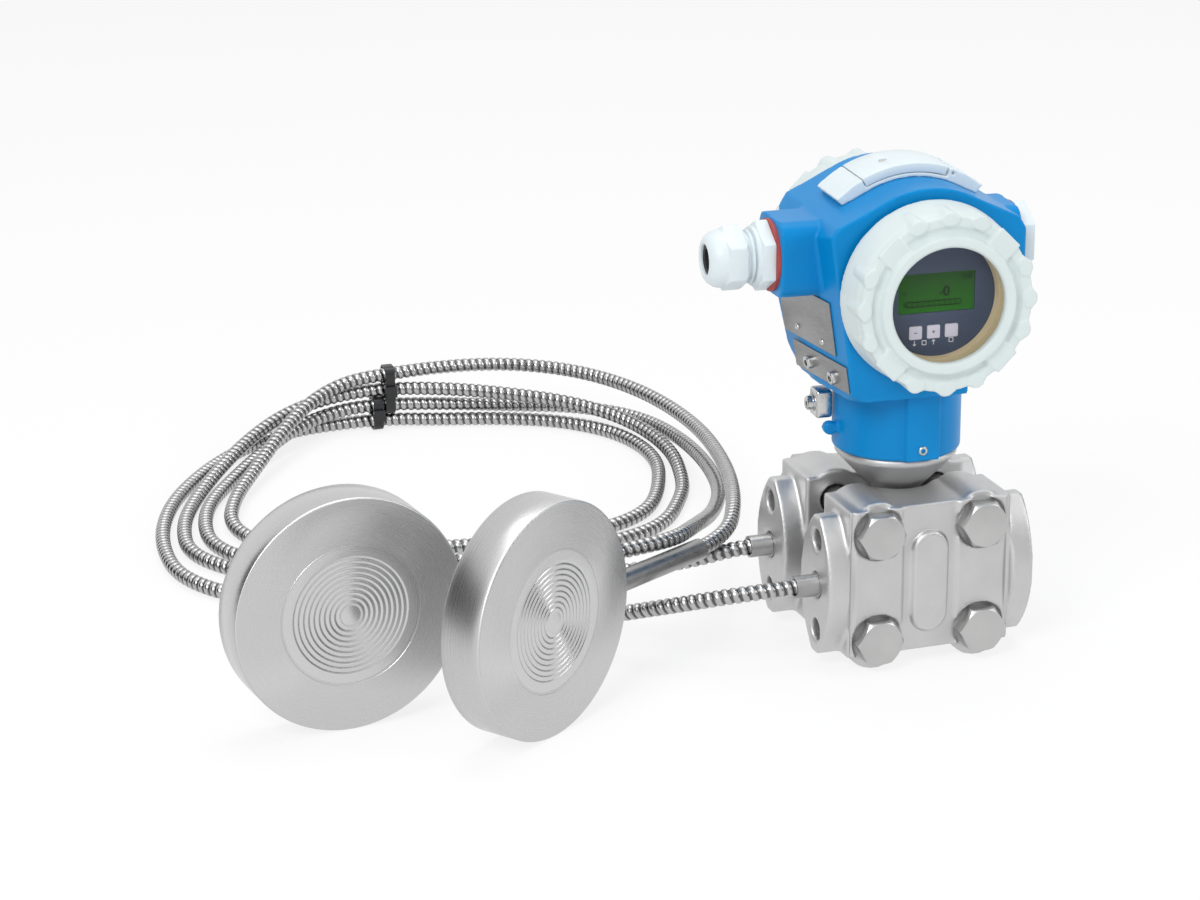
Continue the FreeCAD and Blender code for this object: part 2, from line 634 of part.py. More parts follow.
def flap():
    plate = sector("flap_plate", "archRadius + frameBase + 0.4", "archRadius + frameTop",
                   "frameWidth", "flapLeft - flapGap", "flapRight")
    web = sector("flap_web", "archRadius + frameTop - 3", "archRadius + frameTop - 1.2",
                 "knuckleWidth", "-(flapRight - 1)", "flapHinge")
    across, up = hinge_spot("archRadius + frameTop - 1.9")
    knuckle = rod("flap_knuckle", "knuckleRadius", "knuckleWidth", (across, "-knuckleWidth / 2", up), "y")
    bore = rod("flap_bore", "pinRadius + pinFit", "knuckleWidth", (across, "-knuckleWidth / 2", up), "y")
    screw = rod("flap_screw_hole", "1.8", "8", ("-9", "0", "headAxis + archRadius"))
    return on_head(cut("flap", join("flap_solid", [plate, web, knuckle]), [bore, screw]))


def flap_pin():
    across, up = hinge_spot("archRadius + frameTop - 1.9")
    return on_head(rod("flap_pin", "pinRadius", "frameWidth - 1", (across, "-frameWidth / 2 + 0.5", up), "y"))


def flap_screw():
    top = "headAxis + sqrt((archRadius + frameTop) ^ 2 - 81)"
    return on_head(rod("flap_screw", "1.75", "frameTop - frameBase - 0.6",
                       ("-9", "0", f"{top} - (frameTop - frameBase - 0.6) - 0.1")))


def operating_keys():
    made = []
    for label, spot in (("zero_key", -1), ("reset_key", 0), ("span_key", 1)):
        made.append(on_head(rod(label, "topKeyRadius", "topKeyLength",
                                (f"{spot} * topKeyPitch", "0", f"{key_top(spot)} - topKeyLength"))))
    return made


# ------------------------------------------------------------------ cable entries
def entry_point(along):
    return (along, "entryPlace", "headAxis + entryHeight")


def washer(label, start):
    ring = rod(label + "_ring", "washerRadius", "washerThickness", entry_point(start), "x")
    bore = rod(label + "_bore", "glandThread + 0.05", "washerThickness", entry_point(start), "x")
    return on_head(cut(label, ring, [bore]))


def gland():
    start = "-(leftEntry + washerThickness + glandHex)"
    body = [hexagon("gland_hex", "glandFlats", "glandHex", entry_point(start), "x"),
            rod("gland_thread", "glandThread", "glandThreadLength + washerThickness",
                entry_point("-(leftEntry + washerThickness)"), "x"),
            rod("gland_stem", "nutStem", "nutLength - 6", entry_point(f"{start} - nutLength + 6"), "x")]
    bore = rod("gland_bore", "cableHole + 0.8", "60", entry_point("-leftEntry - 40"), "x")
    return on_head(cut("gland_body", join("gland_solid", body), [bore]))


def gland_nut():
    end = "-(leftEntry + washerThickness + glandHex + nutLength + 0.3)"
    blank = hexagon("nut_hex", "nutFlats", "nutLength", entry_point(end), "x")
    dome = taper("nut_dome", "nutFlats / 2 - 2", "nutFlats / 2 + 2.4", "nutLength",
                 entry_point(end), "x")
    tools = [rod("nut_thread", "nutStem + 0.05", "nutLength - 5", entry_point(f"{end} + 5"), "x"),
             rod("nut_hole", "cableHole + 1.4", "nutLength", entry_point(end), "x")]
    return on_head(cut("gland_nut", overlap("nut_form", [blank, dome]), tools))


def gland_insert():
    end = "-(leftEntry + washerThickness + glandHex + nutLength + 0.3)"
    ring = rod("insert_ring", "cableHole + 1.35", "5.6", entry_point(f"{end} + 0.6"), "x")
    bore = rod("insert_bore", "cableHole", "5.6", entry_point(f"{end} + 0.6"), "x")
    return on_head(cut("gland_insert", ring, [bore]))


def blanking_plug():
    head = hexagon("plug_hex", "plugFlats", "plugThickness",
                   entry_point("rightEntry + washerThickness"), "x")
    thread = rod("plug_thread", "glandThread", "glandThreadLength",
                 entry_point("rightEntry + washerThickness - glandThreadLength"), "x")
    return on_head(join("blanking_plug", [head, thread]))


# ------------------------------------------------------------------ plates and small fasteners
def side_point(up, out):
    """A spot on the housing's sloping left side, a distance out from it."""
    slope = math.atan2(size("headHalfWidth") - size("neckShoulder"), size("sideTop") - size("neckTop"))
    run = (up - size("neckTop")) * math.tan(slope)
    across = -size("neckShoulder") - run - out * math.cos(slope)
    return V(across, 0, up - out * math.sin(slope)), math.degrees(slope)


def on_side(feature, along, up, out=0.0):
    """Lays a piece, drawn in the YZ plane, on the sloping left side."""
    spot, slope = side_point(up, out)
    feature.Placement = FreeCAD.Placement(V(spot.x, along, spot.z), FreeCAD.Rotation(V(0, 1, 0), -slope))
    return on_head(feature)


def nameplate():
    tall = "(plateTop - plateBottom)"
    points = [("plateFront", f"-{tall} / 2 + 4"), ("plateFront", f"{tall} / 2"),
              ("2", f"{tall} / 2"), ("plateBack", f"{tall} / 2 - 8"), ("plateBack", f"-{tall} / 2 - 4")]
    plate = padded("nameplate", "YZ_Plane", points, "plateThickness", midplane=True)
    return on_side(plate, 0, sheet_value("(plateTop + plateBottom) / 2"), size("plateThickness") / 2)


def rivet_group():
    made = []
    for number, along in enumerate((-16, 20)):
        head = doc.addObject("Part::Cylinder", f"rivet_{number}")
        head.Radius = 1.6
        head.Height = 1
        spot, slope = side_point(size("plateBottom") + 3, size("plateThickness") + 1)
        head.Placement = FreeCAD.Placement(V(spot.x, along, spot.z), FreeCAD.Rotation(V(0, 1, 0), 90 - slope))
        made.append(head)
    return on_head(group("nameplate_rivets", made))


def tag_plate():
    plate = padded("tag_plate", "YZ_Plane", rectangle("tagLength", "tagHeight"), "plateThickness",
                   midplane=True)
    return on_side(plate, -1, size("tagPlace"), size("plateThickness") / 2)


def tag_screws():
    made = []
    for number, side in enumerate((-1, 1)):
        head = doc.addObject("Part::Cylinder", f"tag_screw_{number}")
        bind(head, "Radius", "tagScrewRadius")
        head.Height = 3.5
        spot, slope = side_point(size("tagPlace"), size("plateThickness") + 3.5)
        along = 1 + side * size("tagScrewSpacing") / 2
        head.Placement = FreeCAD.Placement(V(spot.x, along, spot.z), FreeCAD.Rotation(V(0, 1, 0), 90 - slope))
        made.append(head)
    return on_head(group("tag_screws", made))


def ground_clamp():
    block = box("clamp_block", ("8", "clampWidth", "clampHeight"),
                ("-neckRadius - 6", "clampPlace - clampWidth / 2", "clampBottom"))
    neck = rod("clamp_seat", "neckRadius", "40", ("0", "0", "clampBottom - 10"))
    return on_head(cut("ground_clamp", block, [neck, neck_blend()]))


def ground_screw():
    start = ("-neckRadius - 10", "clampPlace", "clampBottom + clampHeight / 2")
    return on_head(rod("ground_screw", "3", "4", start, "x"))


def lock_screw():
    return on_head(rod("lock_screw", "2", "8", ("1.5", "-lockPadPlace + 0.3", "neckBottom + 5"), "y"))


# ------------------------------------------------------------------ diaphragm seals and capillaries
def seal_placement(side):
    return FreeCAD.Placement(V(size(side + "SealAcross"), size(side + "SealBack"), size("sealRadius")),
                             FreeCAD.Rotation(V(0, 0, 1), size(side + "SealTurn")))


def seal_body(label, side):
    seat = "(diaphragmThickness + 0.1)"
    points = [("0", f"{seat} + chamberDepth"), ("waveOuter", f"{seat} + chamberDepth"),
              ("waveOuter", seat), ("diaphragmRadius", seat), ("diaphragmRadius", "0"),
              ("sealRadius - sealEdge", "0"), ("sealRadius", "sealEdge"),
              ("sealRadius", "sealThickness - sealEdge"),
              ("sealRadius - sealEdge", "sealThickness"), ("0", "sealThickness")]
    disc = turned(label + "_disc", "XY_Plane", points)
    drill = doc.addObject("Part::Cylinder", label + "_drill")
    bind(drill, "Radius", "tubeRadius + 0.05")
    bind(drill, "Height", "tubeSeat + 10")
    start, direction = tube_line(side, -size("tubeSeat"))
    drill.Placement = FreeCAD.Placement(start, FreeCAD.Rotation(V(0, 0, 1), direction))
    made = cut(label, disc, [drill])
    made.Placement = seal_placement(side)
    return made


def tube_line(side, out):
    """Start and direction of a seal's tube, a distance out from the rim, in the seal's frame."""
    fall = math.radians(size(side + "TubeFall"))
    direction = V(math.cos(fall), 0, -math.sin(fall))
    return direction * (size("sealRadius") + out) + V(0, size("sealThickness") / 2, 0), direction


def diaphragm(label, side):
    """A thin disc with rings pressed into it."""
    count = int(size("waveCount"))
    pitch = "((waveOuter - waveInner) / waveCount)"
    points = [("0", "0.1")]
    for ring in range(count):
        points.append((f"waveInner + {ring} * {pitch}", "0.1"))
        points.append((f"waveInner + ({ring} + 0.5) * {pitch}", "0.1 + waveDepth"))
    points += [("waveOuter", "0.1"), ("diaphragmRadius - 0.05", "0.1"),
               ("diaphragmRadius - 0.05", "diaphragmThickness + 0.1"),
               ("0", "diaphragmThickness + 0.1")]
    made = turned(label, "XY_Plane", points)
    made.Placement = seal_placement(side)
    return made


def seal_tube(label, side):
    made = doc.addObject("Part::Cylinder", label + "_outer")
    bind(made, "Radius", "tubeRadius")
    bind(made, "Height", "tubeLength + tubeSeat")
    start, direction = tube_line(side, -size("tubeSeat"))
    made.Placement = FreeCAD.Placement(start, FreeCAD.Rotation(V(0, 0, 1), direction))
    socket = doc.addObject("Part::Cylinder", label + "_socket")
    bind(socket, "Radius", "armourRadius + socketFit")
    bind(socket, "Height", "socketDepth * 2")
    end, direction = tube_line(side, size("tubeLength") - size("socketDepth"))
    socket.Placement = FreeCAD.Placement(end, FreeCAD.Rotation(V(0, 0, 1), direction))
    whole = cut(label, made, [socket])
    whole.Placement = seal_placement(side)
    return whole


def cord_path(points):
    """Straight runs joined by tangent arcs, each arc as large as its two runs allow."""
    edges = []
    radii = []
    last = points[0]
    for before, here, after in zip(points, points[1:], points[2:]):
        arriving = (here - before).normalize()
        leaving = (after - here).normalize()
        half_turn = arriving.getAngle(leaving) / 2
        reach = 0.45 * min((here - before).Length, (after - here).Length)
        radii.append(reach / math.tan(half_turn))
        first = here - arriving * reach
        final = here + leaving * reach
        middle = here + (leaving - arriving).normalize() * radii[-1] * (1 / math.cos(half_turn) - 1)
        edges.append(Part.LineSegment(last, first).toShape())
        edges.append(Part.Arc(first, middle, final).toShape())
        last = final
    edges.append(Part.LineSegment(last, points[-1]).toShape())
    return Part.Wire(edges), radii


def capillary(label, points):
    """A capillary's armour as a plain round tube along its route."""
    path, radii = cord_path([V(*point) for point in points])
    start = path.Edges[0]
    ring = Part.Circle(start.valueAt(start.FirstParameter), start.tangentAt(start.FirstParameter),
                       size("armourRadius") - 0.02)
    sweep = path.makePipeShell([Part.Wire([ring.toShape()])], True, True)
    expected = math.pi * (size("armourRadius") - 0.02) ** 2 * path.Length
    print(f"{label}: length {path.Length:.0f} mm, volume ratio {sweep.Volume / expected:.4f}, "
          f"smallest radius {min(radii):.1f}, radii {[round(radius) for radius in radii]}")
    made = doc.addObject("Part::Feature", label)
    made.Shape = sweep
    return made


# Points of each line's route from its flange to its seal, chosen by hand.
HIGH_ROUTE = [
    (-52.6, -27, 38), (-80, -27, 38), (-107, -8, 29), (-136, 24, 15), (-172, 57, 6), (-214, 88, 3.7),
    (-254, 116, 3.7), (-288, 158, 3.7), (-287, 212, 3.7), (-272, 262, 3.7), (-247, 304, 3.7),
    (-220, 335, 3.7), (-190, 356, 3.7), (-163, 360, 4), (-135, 357, 5), (-106, 350, 3.7),
    (-76, 341, 3.7), (-46, 325, 3.7), (-24, 294, 3.7), (-20, 250, 3.7), (-36, 205, 3.7),
    (-52, 177, 3.7), (-76, 161, 3.7), (-108, 156, 3.7), (-147, 159, 3.7), (-188, 167, 3.7),
    (-220, 178, 3.7), (-242, 196, 3.7), (-250, 226, 4), (-239, 260, 5.5), (-219, 292, 10), (-199, 320, 17.5),
    (-178, 344, 23.5), (-157, 355, 28.3), (-133, 356, 30.1), (-97, 360, 29.6), (-63, 355, 28.6),
    (-33, 331, 28), (-14, 287, 28), (-9, 224, 29), (-23, 148, 35), (-49, 67, 46),
    (-68.3, 27.2, 43.6), (-92.1, 10.6, 45.1),
]
LOW_ROUTE = [
    (-52.6, 27, 38), (-64, 27, 38), (-80, 30, 34.2), (-103, 45, 26.5), (-131, 68, 17), (-160, 92, 9),
    (-193, 114, 4.2), (-229, 136, 3.7), (-257, 158, 3.7), (-277, 192, 3.7), (-272, 230, 3.7),
    (-260, 262, 4), (-239, 298, 7), (-214, 330, 12), (-188, 351, 17), (-160, 358, 20.5),
    (-134, 357, 21.9), (-101, 349, 20.5), (-69, 337, 17.5), (-40, 320, 14.5), (-19, 291, 11),
    (-12, 251, 7), (-21, 210, 4.2), (-31, 188, 3.7), (-50, 157, 3.7), (-77, 142, 3.7),
    (-112, 137, 3.7), (-150, 140, 3.7), (-190, 148, 3.7), (-228, 162, 3.7), (-253, 176, 3.7),
    (-264, 202, 3.7), (-261, 232, 3.7), (-251, 262, 3.7), (-231, 294, 3.8), (-209, 323, 6), (-184, 347, 10),
    (-159, 357, 12.7), (-134.5, 357, 13.4), (-100, 352, 11.2), (-66, 347, 8), (-31, 337, 6.5),
    (-7, 305, 7), (-4, 242, 11), (-20, 161, 19), (-49, 93, 31), (-84, 31, 48.8),
    (-100, 9, 53.2), (-125.6, -0.5, 54.5), (-145.4, -2.9, 53.9),
]


def tie(label, across, back, low, high):
    """A flat band round the strands that lie one above another, with its catch on the front."""
    middle = f"(({low}) + ({high})) / 2"
    inner_width = "(armourRadius + tieFit) * 2"
    inner_height = f"(({high}) - ({low}) + (armourRadius + 0.1) * 2)"
    bend = "armourRadius - 0.5"
    place = (across, back, middle)
    outer = rounded(label + "_outer", "YZ_Plane", f"{inner_width} + tieThickness * 2",
                    f"{inner_height} + tieThickness * 2", "tieWidth", f"{bend} + tieThickness", place)
    inner = rounded(label + "_inner", "YZ_Plane", inner_width, inner_height, "tieWidth * 2", bend, place)
    catch = box(label + "_catch", ("tieHead", "tieThickness * 3", "tieHead"),
                (f"{across} - tieHead / 2", f"{back} - armourRadius - tieFit - tieThickness * 3",
                 f"{middle} - tieHead / 2"))
    return cut(label, join(label + "_band", [outer, catch]), [inner])


# ------------------------------------------------------------------ the whole transmitter
NODES = {
    "high_flange": flange(),
    "flange_bolts": bolts(),
    "flange_nuts": nuts(),
    "high_gasket": gasket(),
    "sensor_cell": sensor_cell(),
    "high_ferrule": ferrule(),
    "neck_adapter": neck_adapter(),
    "housing": housing(),
    "front_cover": cover("front_cover", -1, True),
    "rear_cover": cover("rear_cover", 1, False),
    "front_cover_seal": cover_seal("front_cover_seal", -1),
    "rear_cover_seal": cover_seal("rear_cover_seal", 1),
    "front_window": window_glass(),
    "display_ring": display_ring(),
    "display_bezel": display_bezel(),
    "display_screen": screen(),
    "electronics_insert": electronics_insert(),
    "terminal_block": terminal_block(),
    "flap_frame": flap_frame(),
    "flap": flap(),
    "flap_pin": flap_pin(),
    "flap_screw": flap_screw(),
    "gland_seal": washer("gland_seal", "-(leftEntry + washerThickness)"),
    "gland_body": gland(),
    "gland_nut": gland_nut(),
    "gland_insert": gland_insert(),
    "plug_seal": washer("plug_seal", "rightEntry"),
    "blanking_plug": blanking_plug(),
    "nameplate": nameplate(),
    "nameplate_rivets": rivet_group(),
    "tag_plate": tag_plate(),
    "tag_screws": tag_screws(),
    "ground_clamp": ground_clamp(),
    "ground_screw": ground_screw(),
    "lock_screw": lock_screw(),
    "high_capillary": capillary("high_capillary", HIGH_ROUTE),
    "low_capillary": capillary("low_capillary", LOW_ROUTE),
    "upper_tie": tie("upper_tie", "tiePlace", "upperBack",
                     "strandLow + strandPitch", "strandLow + strandPitch * 3"),
    "lower_tie": tie("lower_tie", "tiePlace - tieSpacing", "lowerBack",
                     "strandLow", "strandLow + strandPitch"),
}
for piece in ("flange", "gasket", "ferrule"):
    NODES["low_" + piece] = mirrored("low_" + piece, NODES["high_" + piece])
for pressure, side in (("high", "right"), ("low", "left")):
    NODES[pressure + "_seal_body"] = seal_body(pressure + "_seal_body", side)
    NODES[pressure + "_diaphragm"] = diaphragm(pressure + "_diaphragm", side)
    NODES[pressure + "_seal_tube"] = seal_tube(pressure + "_seal_tube", side)
for key in operating_keys() + display_keys():
    NODES[key.Label] = key

doc.recompute()
for feature in doc.Objects:
    if "Invalid" in feature.State or "Error" in feature.State:
        raise RuntimeError(f"{feature.Label} did not build: {feature.State}")
os.makedirs("parts", exist_ok=True)
for name, piece in NODES.items():
    if piece.Label != name:
        raise RuntimeError(f"{name} carries the label {piece.Label}")
    if piece.Shape.isNull() or not piece.Shape.isValid() or piece.Shape.Volume <= 0:
        raise RuntimeError(f"{name} has no valid shape")
for name, piece in NODES.items():
    extent = piece.Shape.BoundBox
    print(f"{name}: {len(piece.Shape.Solids)} solids, {piece.Shape.Volume:.1f} mm3, lowest {extent.ZMin:.2f}")
    piece.Shape.exportStep(f"parts/{name}.step")
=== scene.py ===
# %% [markdown]
# # A pressure transmitter with two remote seals
# The object has a blue die-cast head with a display, a stainless sensor clamped between two cast
# flanges, and two turned seal discs on armoured capillary lines.  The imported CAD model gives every
# piece its place.  This lesson dresses it: first the camera and the lines, then the finishes, then
# the pieces whose form needs more than the CAD solids give.

# %% Load the frame
import math

import bmesh
import bpy
from mathutils import Matrix, Vector


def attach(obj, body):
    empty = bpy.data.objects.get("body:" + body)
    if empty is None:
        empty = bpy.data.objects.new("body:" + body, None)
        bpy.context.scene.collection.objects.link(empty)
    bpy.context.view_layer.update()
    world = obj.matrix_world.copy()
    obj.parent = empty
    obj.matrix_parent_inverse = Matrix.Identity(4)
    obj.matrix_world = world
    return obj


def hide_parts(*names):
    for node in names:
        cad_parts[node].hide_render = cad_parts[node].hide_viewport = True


MM = 0.001
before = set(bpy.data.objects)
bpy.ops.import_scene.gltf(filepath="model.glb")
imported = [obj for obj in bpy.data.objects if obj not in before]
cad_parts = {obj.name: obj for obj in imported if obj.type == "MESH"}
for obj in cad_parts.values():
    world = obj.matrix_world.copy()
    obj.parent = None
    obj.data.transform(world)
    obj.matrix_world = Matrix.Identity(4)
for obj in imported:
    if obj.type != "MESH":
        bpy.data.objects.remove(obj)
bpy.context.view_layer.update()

# %% [markdown]
# ## The camera
# A long lens stands well back, to the left of the display and a little above it, so the object
# shows hardly any perspective.  The angles turn a camera that first looks straight down, so a
# pitch of 90 degrees would look level.

# %% Camera
CAMERA_PLACE = Vector((-585.6, -1306.3, 567.9)) * MM
CAMERA_TURN = math.radians(-18.94)
CAMERA_PITCH = math.radians(90 - 18.67)
CAMERA_ROLL = math.radians(-0.31)
LENS_MM = 102.66

SENSOR_MM = 36


def linked(name, data):
    """An object for some data, linked to the scene."""
    made = bpy.data.objects.new(name, data)
    bpy.context.scene.collection.objects.link(made)
    return made


camera = linked("camera", bpy.data.cameras.new("camera"))
camera.data.lens = LENS_MM
camera.data.sensor_width = SENSOR_MM
camera.matrix_world = (
    Matrix.Translation(CAMERA_PLACE)
    @ Matrix.Rotation(CAMERA_TURN, 4, "Z")
    @ Matrix.Rotation(CAMERA_PITCH, 4, "X")
    @ Matrix.Rotation(CAMERA_ROLL, 4, "Z")
)
bpy.context.scene.camera = camera
print("camera stands", round(CAMERA_PLACE.length, 2), "m from the neck's foot")

# %% [markdown]
# ## The lines' routes
# Each line is one piece of flexible metal hose, so its centre is one smooth curve.  The points are
# the same that the CAD model uses, and a NURBS spline of order 3 rounds them off as a hose would.

# %% Routes of the two lines
HIGH_ROUTE = [
    (-52.6, -27, 38), (-80, -27, 38), (-107, -8, 29), (-136, 24, 15), (-172, 57, 6), (-214, 88, 3.7),
    (-254, 116, 3.7), (-288, 158, 3.7), (-287, 212, 3.7), (-272, 262, 3.7), (-247, 304, 3.7),
    (-220, 335, 3.7), (-190, 356, 3.7), (-163, 360, 4), (-135, 357, 5), (-106, 350, 3.7),
    (-76, 341, 3.7), (-46, 325, 3.7), (-24, 294, 3.7), (-20, 250, 3.7), (-36, 205, 3.7),
    (-52, 177, 3.7), (-76, 161, 3.7), (-108, 156, 3.7), (-147, 159, 3.7), (-188, 167, 3.7),
    (-220, 178, 3.7), (-242, 196, 3.7), (-250, 226, 4), (-239, 260, 5.5), (-219, 292, 10), (-199, 320, 17.5),
    (-178, 344, 23.5), (-157, 355, 28.3), (-133, 356, 30.1), (-97, 360, 29.6), (-63, 355, 28.6),
    (-33, 331, 28), (-14, 287, 28), (-9, 224, 29), (-23, 148, 35), (-49, 67, 46),
    (-68.3, 27.2, 43.6), (-92.1, 10.6, 45.1),
]
LOW_ROUTE = [
    (-52.6, 27, 38), (-64, 27, 38), (-80, 30, 34.2), (-103, 45, 26.5), (-131, 68, 17), (-160, 92, 9),
    (-193, 114, 4.2), (-229, 136, 3.7), (-257, 158, 3.7), (-277, 192, 3.7), (-272, 230, 3.7),
    (-260, 262, 4), (-239, 298, 7), (-214, 330, 12), (-188, 351, 17), (-160, 358, 20.5),
    (-134, 357, 21.9), (-101, 349, 20.5), (-69, 337, 17.5), (-40, 320, 14.5), (-19, 291, 11),
    (-12, 251, 7), (-21, 210, 4.2), (-31, 188, 3.7), (-50, 157, 3.7), (-77, 142, 3.7),
    (-112, 137, 3.7), (-150, 140, 3.7), (-190, 148, 3.7), (-228, 162, 3.7), (-253, 176, 3.7),
    (-264, 202, 3.7), (-261, 232, 3.7), (-251, 262, 3.7), (-231, 294, 3.8), (-209, 323, 6), (-184, 347, 10),
    (-159, 357, 12.7), (-134.5, 357, 13.4), (-100, 352, 11.2), (-66, 347, 8), (-31, 337, 6.5),
    (-7, 305, 7), (-4, 242, 11), (-20, 161, 19), (-49, 93, 31), (-84, 31, 48.8),
    (-100, 9, 53.2), (-125.6, -0.5, 54.5), (-145.4, -2.9, 53.9),
]


def route_curve(name, points):
    """A NURBS curve through the listed route, given in millimetres."""
    curve = bpy.data.curves.new(name, "CURVE")
    curve.dimensions = "3D"
    spline = curve.splines.new("NURBS")
    spline.points.add(len(points) - 1)
    for target, point in zip(spline.points, points):
        target.co = (*(Vector(point) * MM), 1)
    spline.order_u = 3
    spline.use_endpoint_u = True
    spline.resolution_u = 12
    return linked(name, curve)


def evaluated(holder):
    """A mesh of an object as its modifiers or its curve settings leave it."""
    depsgraph = bpy.context.evaluated_depsgraph_get()
    return bpy.data.meshes.new_from_object(holder.evaluated_get(depsgraph))


print("routes have", len(HIGH_ROUTE), "and", len(LOW_ROUTE), "points")


# %% [markdown]
# ## Ribbed armour
# The hose is a steel strip wound in a helix, so its ribs lean a little.  One turn of the strip is
# modelled as a short open sleeve that is sheared by one pitch round its circumference.  An Array
# lays the turns end to end and joins them into one helix, and a Curve modifier bends the row along
# the line, so a rib is drawn once and stays cheap.

# %% One turn of the strip
RIB_PITCH = 3.8
RIB_SIDES = 16
# A strip point below CREASE_TOP lies in a crease, and its depth there sets how much painted shade the armour
# material gives it.
CREASE_TOP = 3.4
CREASE_HEIGHT = 0.4
# Each point is a share of the pitch and a radius.
RIB_PROFILE = [(0.0, 2.98), (0.10, 3.02), (0.20, 3.46), (0.45, 3.60), (0.72, 3.50), (0.84, 3.04)]


def strip_turn(name):
    """An open sleeve one pitch long, cut along its length and sheared into a helix."""
    sleeve = bmesh.new()
    crease_shade = sleeve.verts.layers.float.new("crease_shade")
    rib = [sleeve.verts.new((share * RIB_PITCH * MM, 0, radius * MM))
           for share, radius in RIB_PROFILE + [(1.0, RIB_PROFILE[0][1])]]
    edges = [sleeve.edges.new(pair) for pair in zip(rib, rib[1:])]
    bmesh.ops.spin(sleeve, geom=rib + edges, cent=(0, 0, 0), axis=(1, 0, 0), angle=math.tau,
                   steps=RIB_SIDES, use_merge=False)
    for index, vertex in enumerate(sleeve.verts):
        radius = math.hypot(vertex.co.y, vertex.co.z) / MM
        # How deep the point lies in a crease: the armour material paints shade by it.
        vertex[crease_shade] = min(1.0, max(0.0, (CREASE_TOP - radius) / CREASE_HEIGHT))
        vertex.co.x += (index // len(rib)) / RIB_SIDES * RIB_PITCH * MM
    bmesh.ops.recalc_face_normals(sleeve, faces=sleeve.faces)
    mesh = bpy.data.meshes.new(name)
    sleeve.to_mesh(mesh)
    sleeve.free()
    return mesh


def smooth(mesh):
    """Shades every face of a mesh smooth."""
    for face in mesh.polygons:
        face.use_smooth = True
    return mesh


def armoured_line(name, node, points):
    route = route_curve(name + "_route", points)
    path = [vertex.co.copy() for vertex in evaluated(route).vertices]
    length = sum((b - a).length for a, b in zip(path, path[1:]))
    hose = linked(name, strip_turn(name))
    row = hose.modifiers.new("turns", "ARRAY")
    row.count = int(length / (RIB_PITCH * MM)) - 1
    row.use_constant_offset = True
    row.use_relative_offset = False
    row.constant_offset_displace = (RIB_PITCH * MM, 0, 0)
    row.use_merge_vertices = True
    row.merge_threshold = 0.02 * MM
    bend = hose.modifiers.new("along_route", "CURVE")
    bend.object = route
    bend.deform_axis = "POS_X"
    wound = smooth(evaluated(hose))
    hose.modifiers.clear()
    hose.data = wound
    bpy.data.objects.remove(route)
    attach(hose, "process")
    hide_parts(node)
    print(name, "is", round(length, 3), "m long with", len(wound.polygons), "faces")
    return hose


# %% Both lines
high_armour = armoured_line("high_armour", "high_capillary", HIGH_ROUTE)
low_armour = armoured_line("low_armour", "low_capillary", LOW_ROUTE)

# %% [markdown]
# ## Colours and nodes
# Colours are written as they look on a screen and turned to the linear values that a renderer
# needs.  One helper adds a node, sets its fields and fills or links its sockets.  Another starts a
# material and returns its shader, so that each finish below says only what is special about it.

# %% Helpers for materials
def colour(code):
    """An sRGB hex colour as linear red, green, blue and alpha."""
    shares = [int(code[place:place + 2], 16) / 255 for place in (1, 3, 5)]
    linear = [share / 12.92 if share <= 0.04045 else ((share + 0.055) / 1.055) ** 2.4 for share in shares]
    return (*linear, 1)


def node(tree, kind, sockets=None, **fields):
    """Adds a node with its settings, and links or fills the sockets that are named."""
    made = tree.nodes.new(kind)
    for field, value in fields.items():
        setattr(made, field, value)
    for name, value in (sockets or {}).items():
        if isinstance(value, bpy.types.NodeSocket):
            tree.links.new(value, made.inputs[name])
        else:
            made.inputs[name].default_value = value
    return made


def start_material(name, **sockets):
    """A material with one Principled shader, whose sockets are named with underscores."""
    material = bpy.data.materials.new(name)
    material.use_nodes = True
    tree = material.node_tree
    shader = tree.nodes["Principled BSDF"]
    for socket, value in sockets.items():
        shader.inputs[socket.replace("_", " ")].default_value = value
    return material, tree, shader


def connect(tree, shader, **sockets):
    """Links outputs to the shader's sockets, which are named with underscores."""
    for socket, output in sockets.items():
        tree.links.new(output, shader.inputs[socket.replace("_", " ")])


def per_mm(size):
    """The scale of a texture on Object coordinates, in metres, for grains of a size in mm."""
    return 1 / (size * MM)


MATERIALS = {}

# %% [markdown]
# ## Paint on the head
# The die-cast head and its covers are powder-coated.  Molten powder levels out almost but not
# quite flat, which is called orange peel: waves about 2 mm long and a few microns deep.  A wide,
# low bump gives that, and slightly uneven gloss keeps large faces from looking like plastic film.

# %% Powder coats
def powder_coat(name, code, shade, roughness):
    """Polyester powder coat over die-cast aluminium: even colour, soft gloss, orange peel."""
    material, tree, shader = start_material(name, IOR=1.25, Coat_Weight=0.03, Coat_Roughness=0.2)
    place = node(tree, "ShaderNodeTexCoord").outputs["Object"]
    peel = node(tree, "ShaderNodeTexNoise", {"Vector": place, "Scale": per_mm(2.2), "Detail": 1.5})
    cloud = node(tree, "ShaderNodeTexNoise", {"Vector": place, "Scale": per_mm(30), "Detail": 3})
    tint = node(tree, "ShaderNodeMix", {"Factor": cloud.outputs["Fac"], "A": colour(code),
                                        "B": colour(shade)}, data_type="RGBA")
    gloss = node(tree, "ShaderNodeMapRange", {"Value": cloud.outputs["Fac"], "To Min": roughness - 0.05,
                                              "To Max": roughness + 0.07})
    bump = node(tree, "ShaderNodeBump", {"Height": peel.outputs["Fac"], "Strength": 0.25,
                                         "Distance": 0.00004})
    connect(tree, shader, Base_Color=tint.outputs["Result"], Roughness=gloss.outputs["Result"],
            Normal=bump.outputs["Normal"])
    return material


MATERIALS["blue_paint"] = powder_coat("blue_powder_coat", "#0088CC", "#007EC0", 0.34)
MATERIALS["pale_paint"] = powder_coat("pale_powder_coat", "#D6E0E0", "#CDD8D8", 0.36)
print("paints:", [material.name for material in MATERIALS.values()])

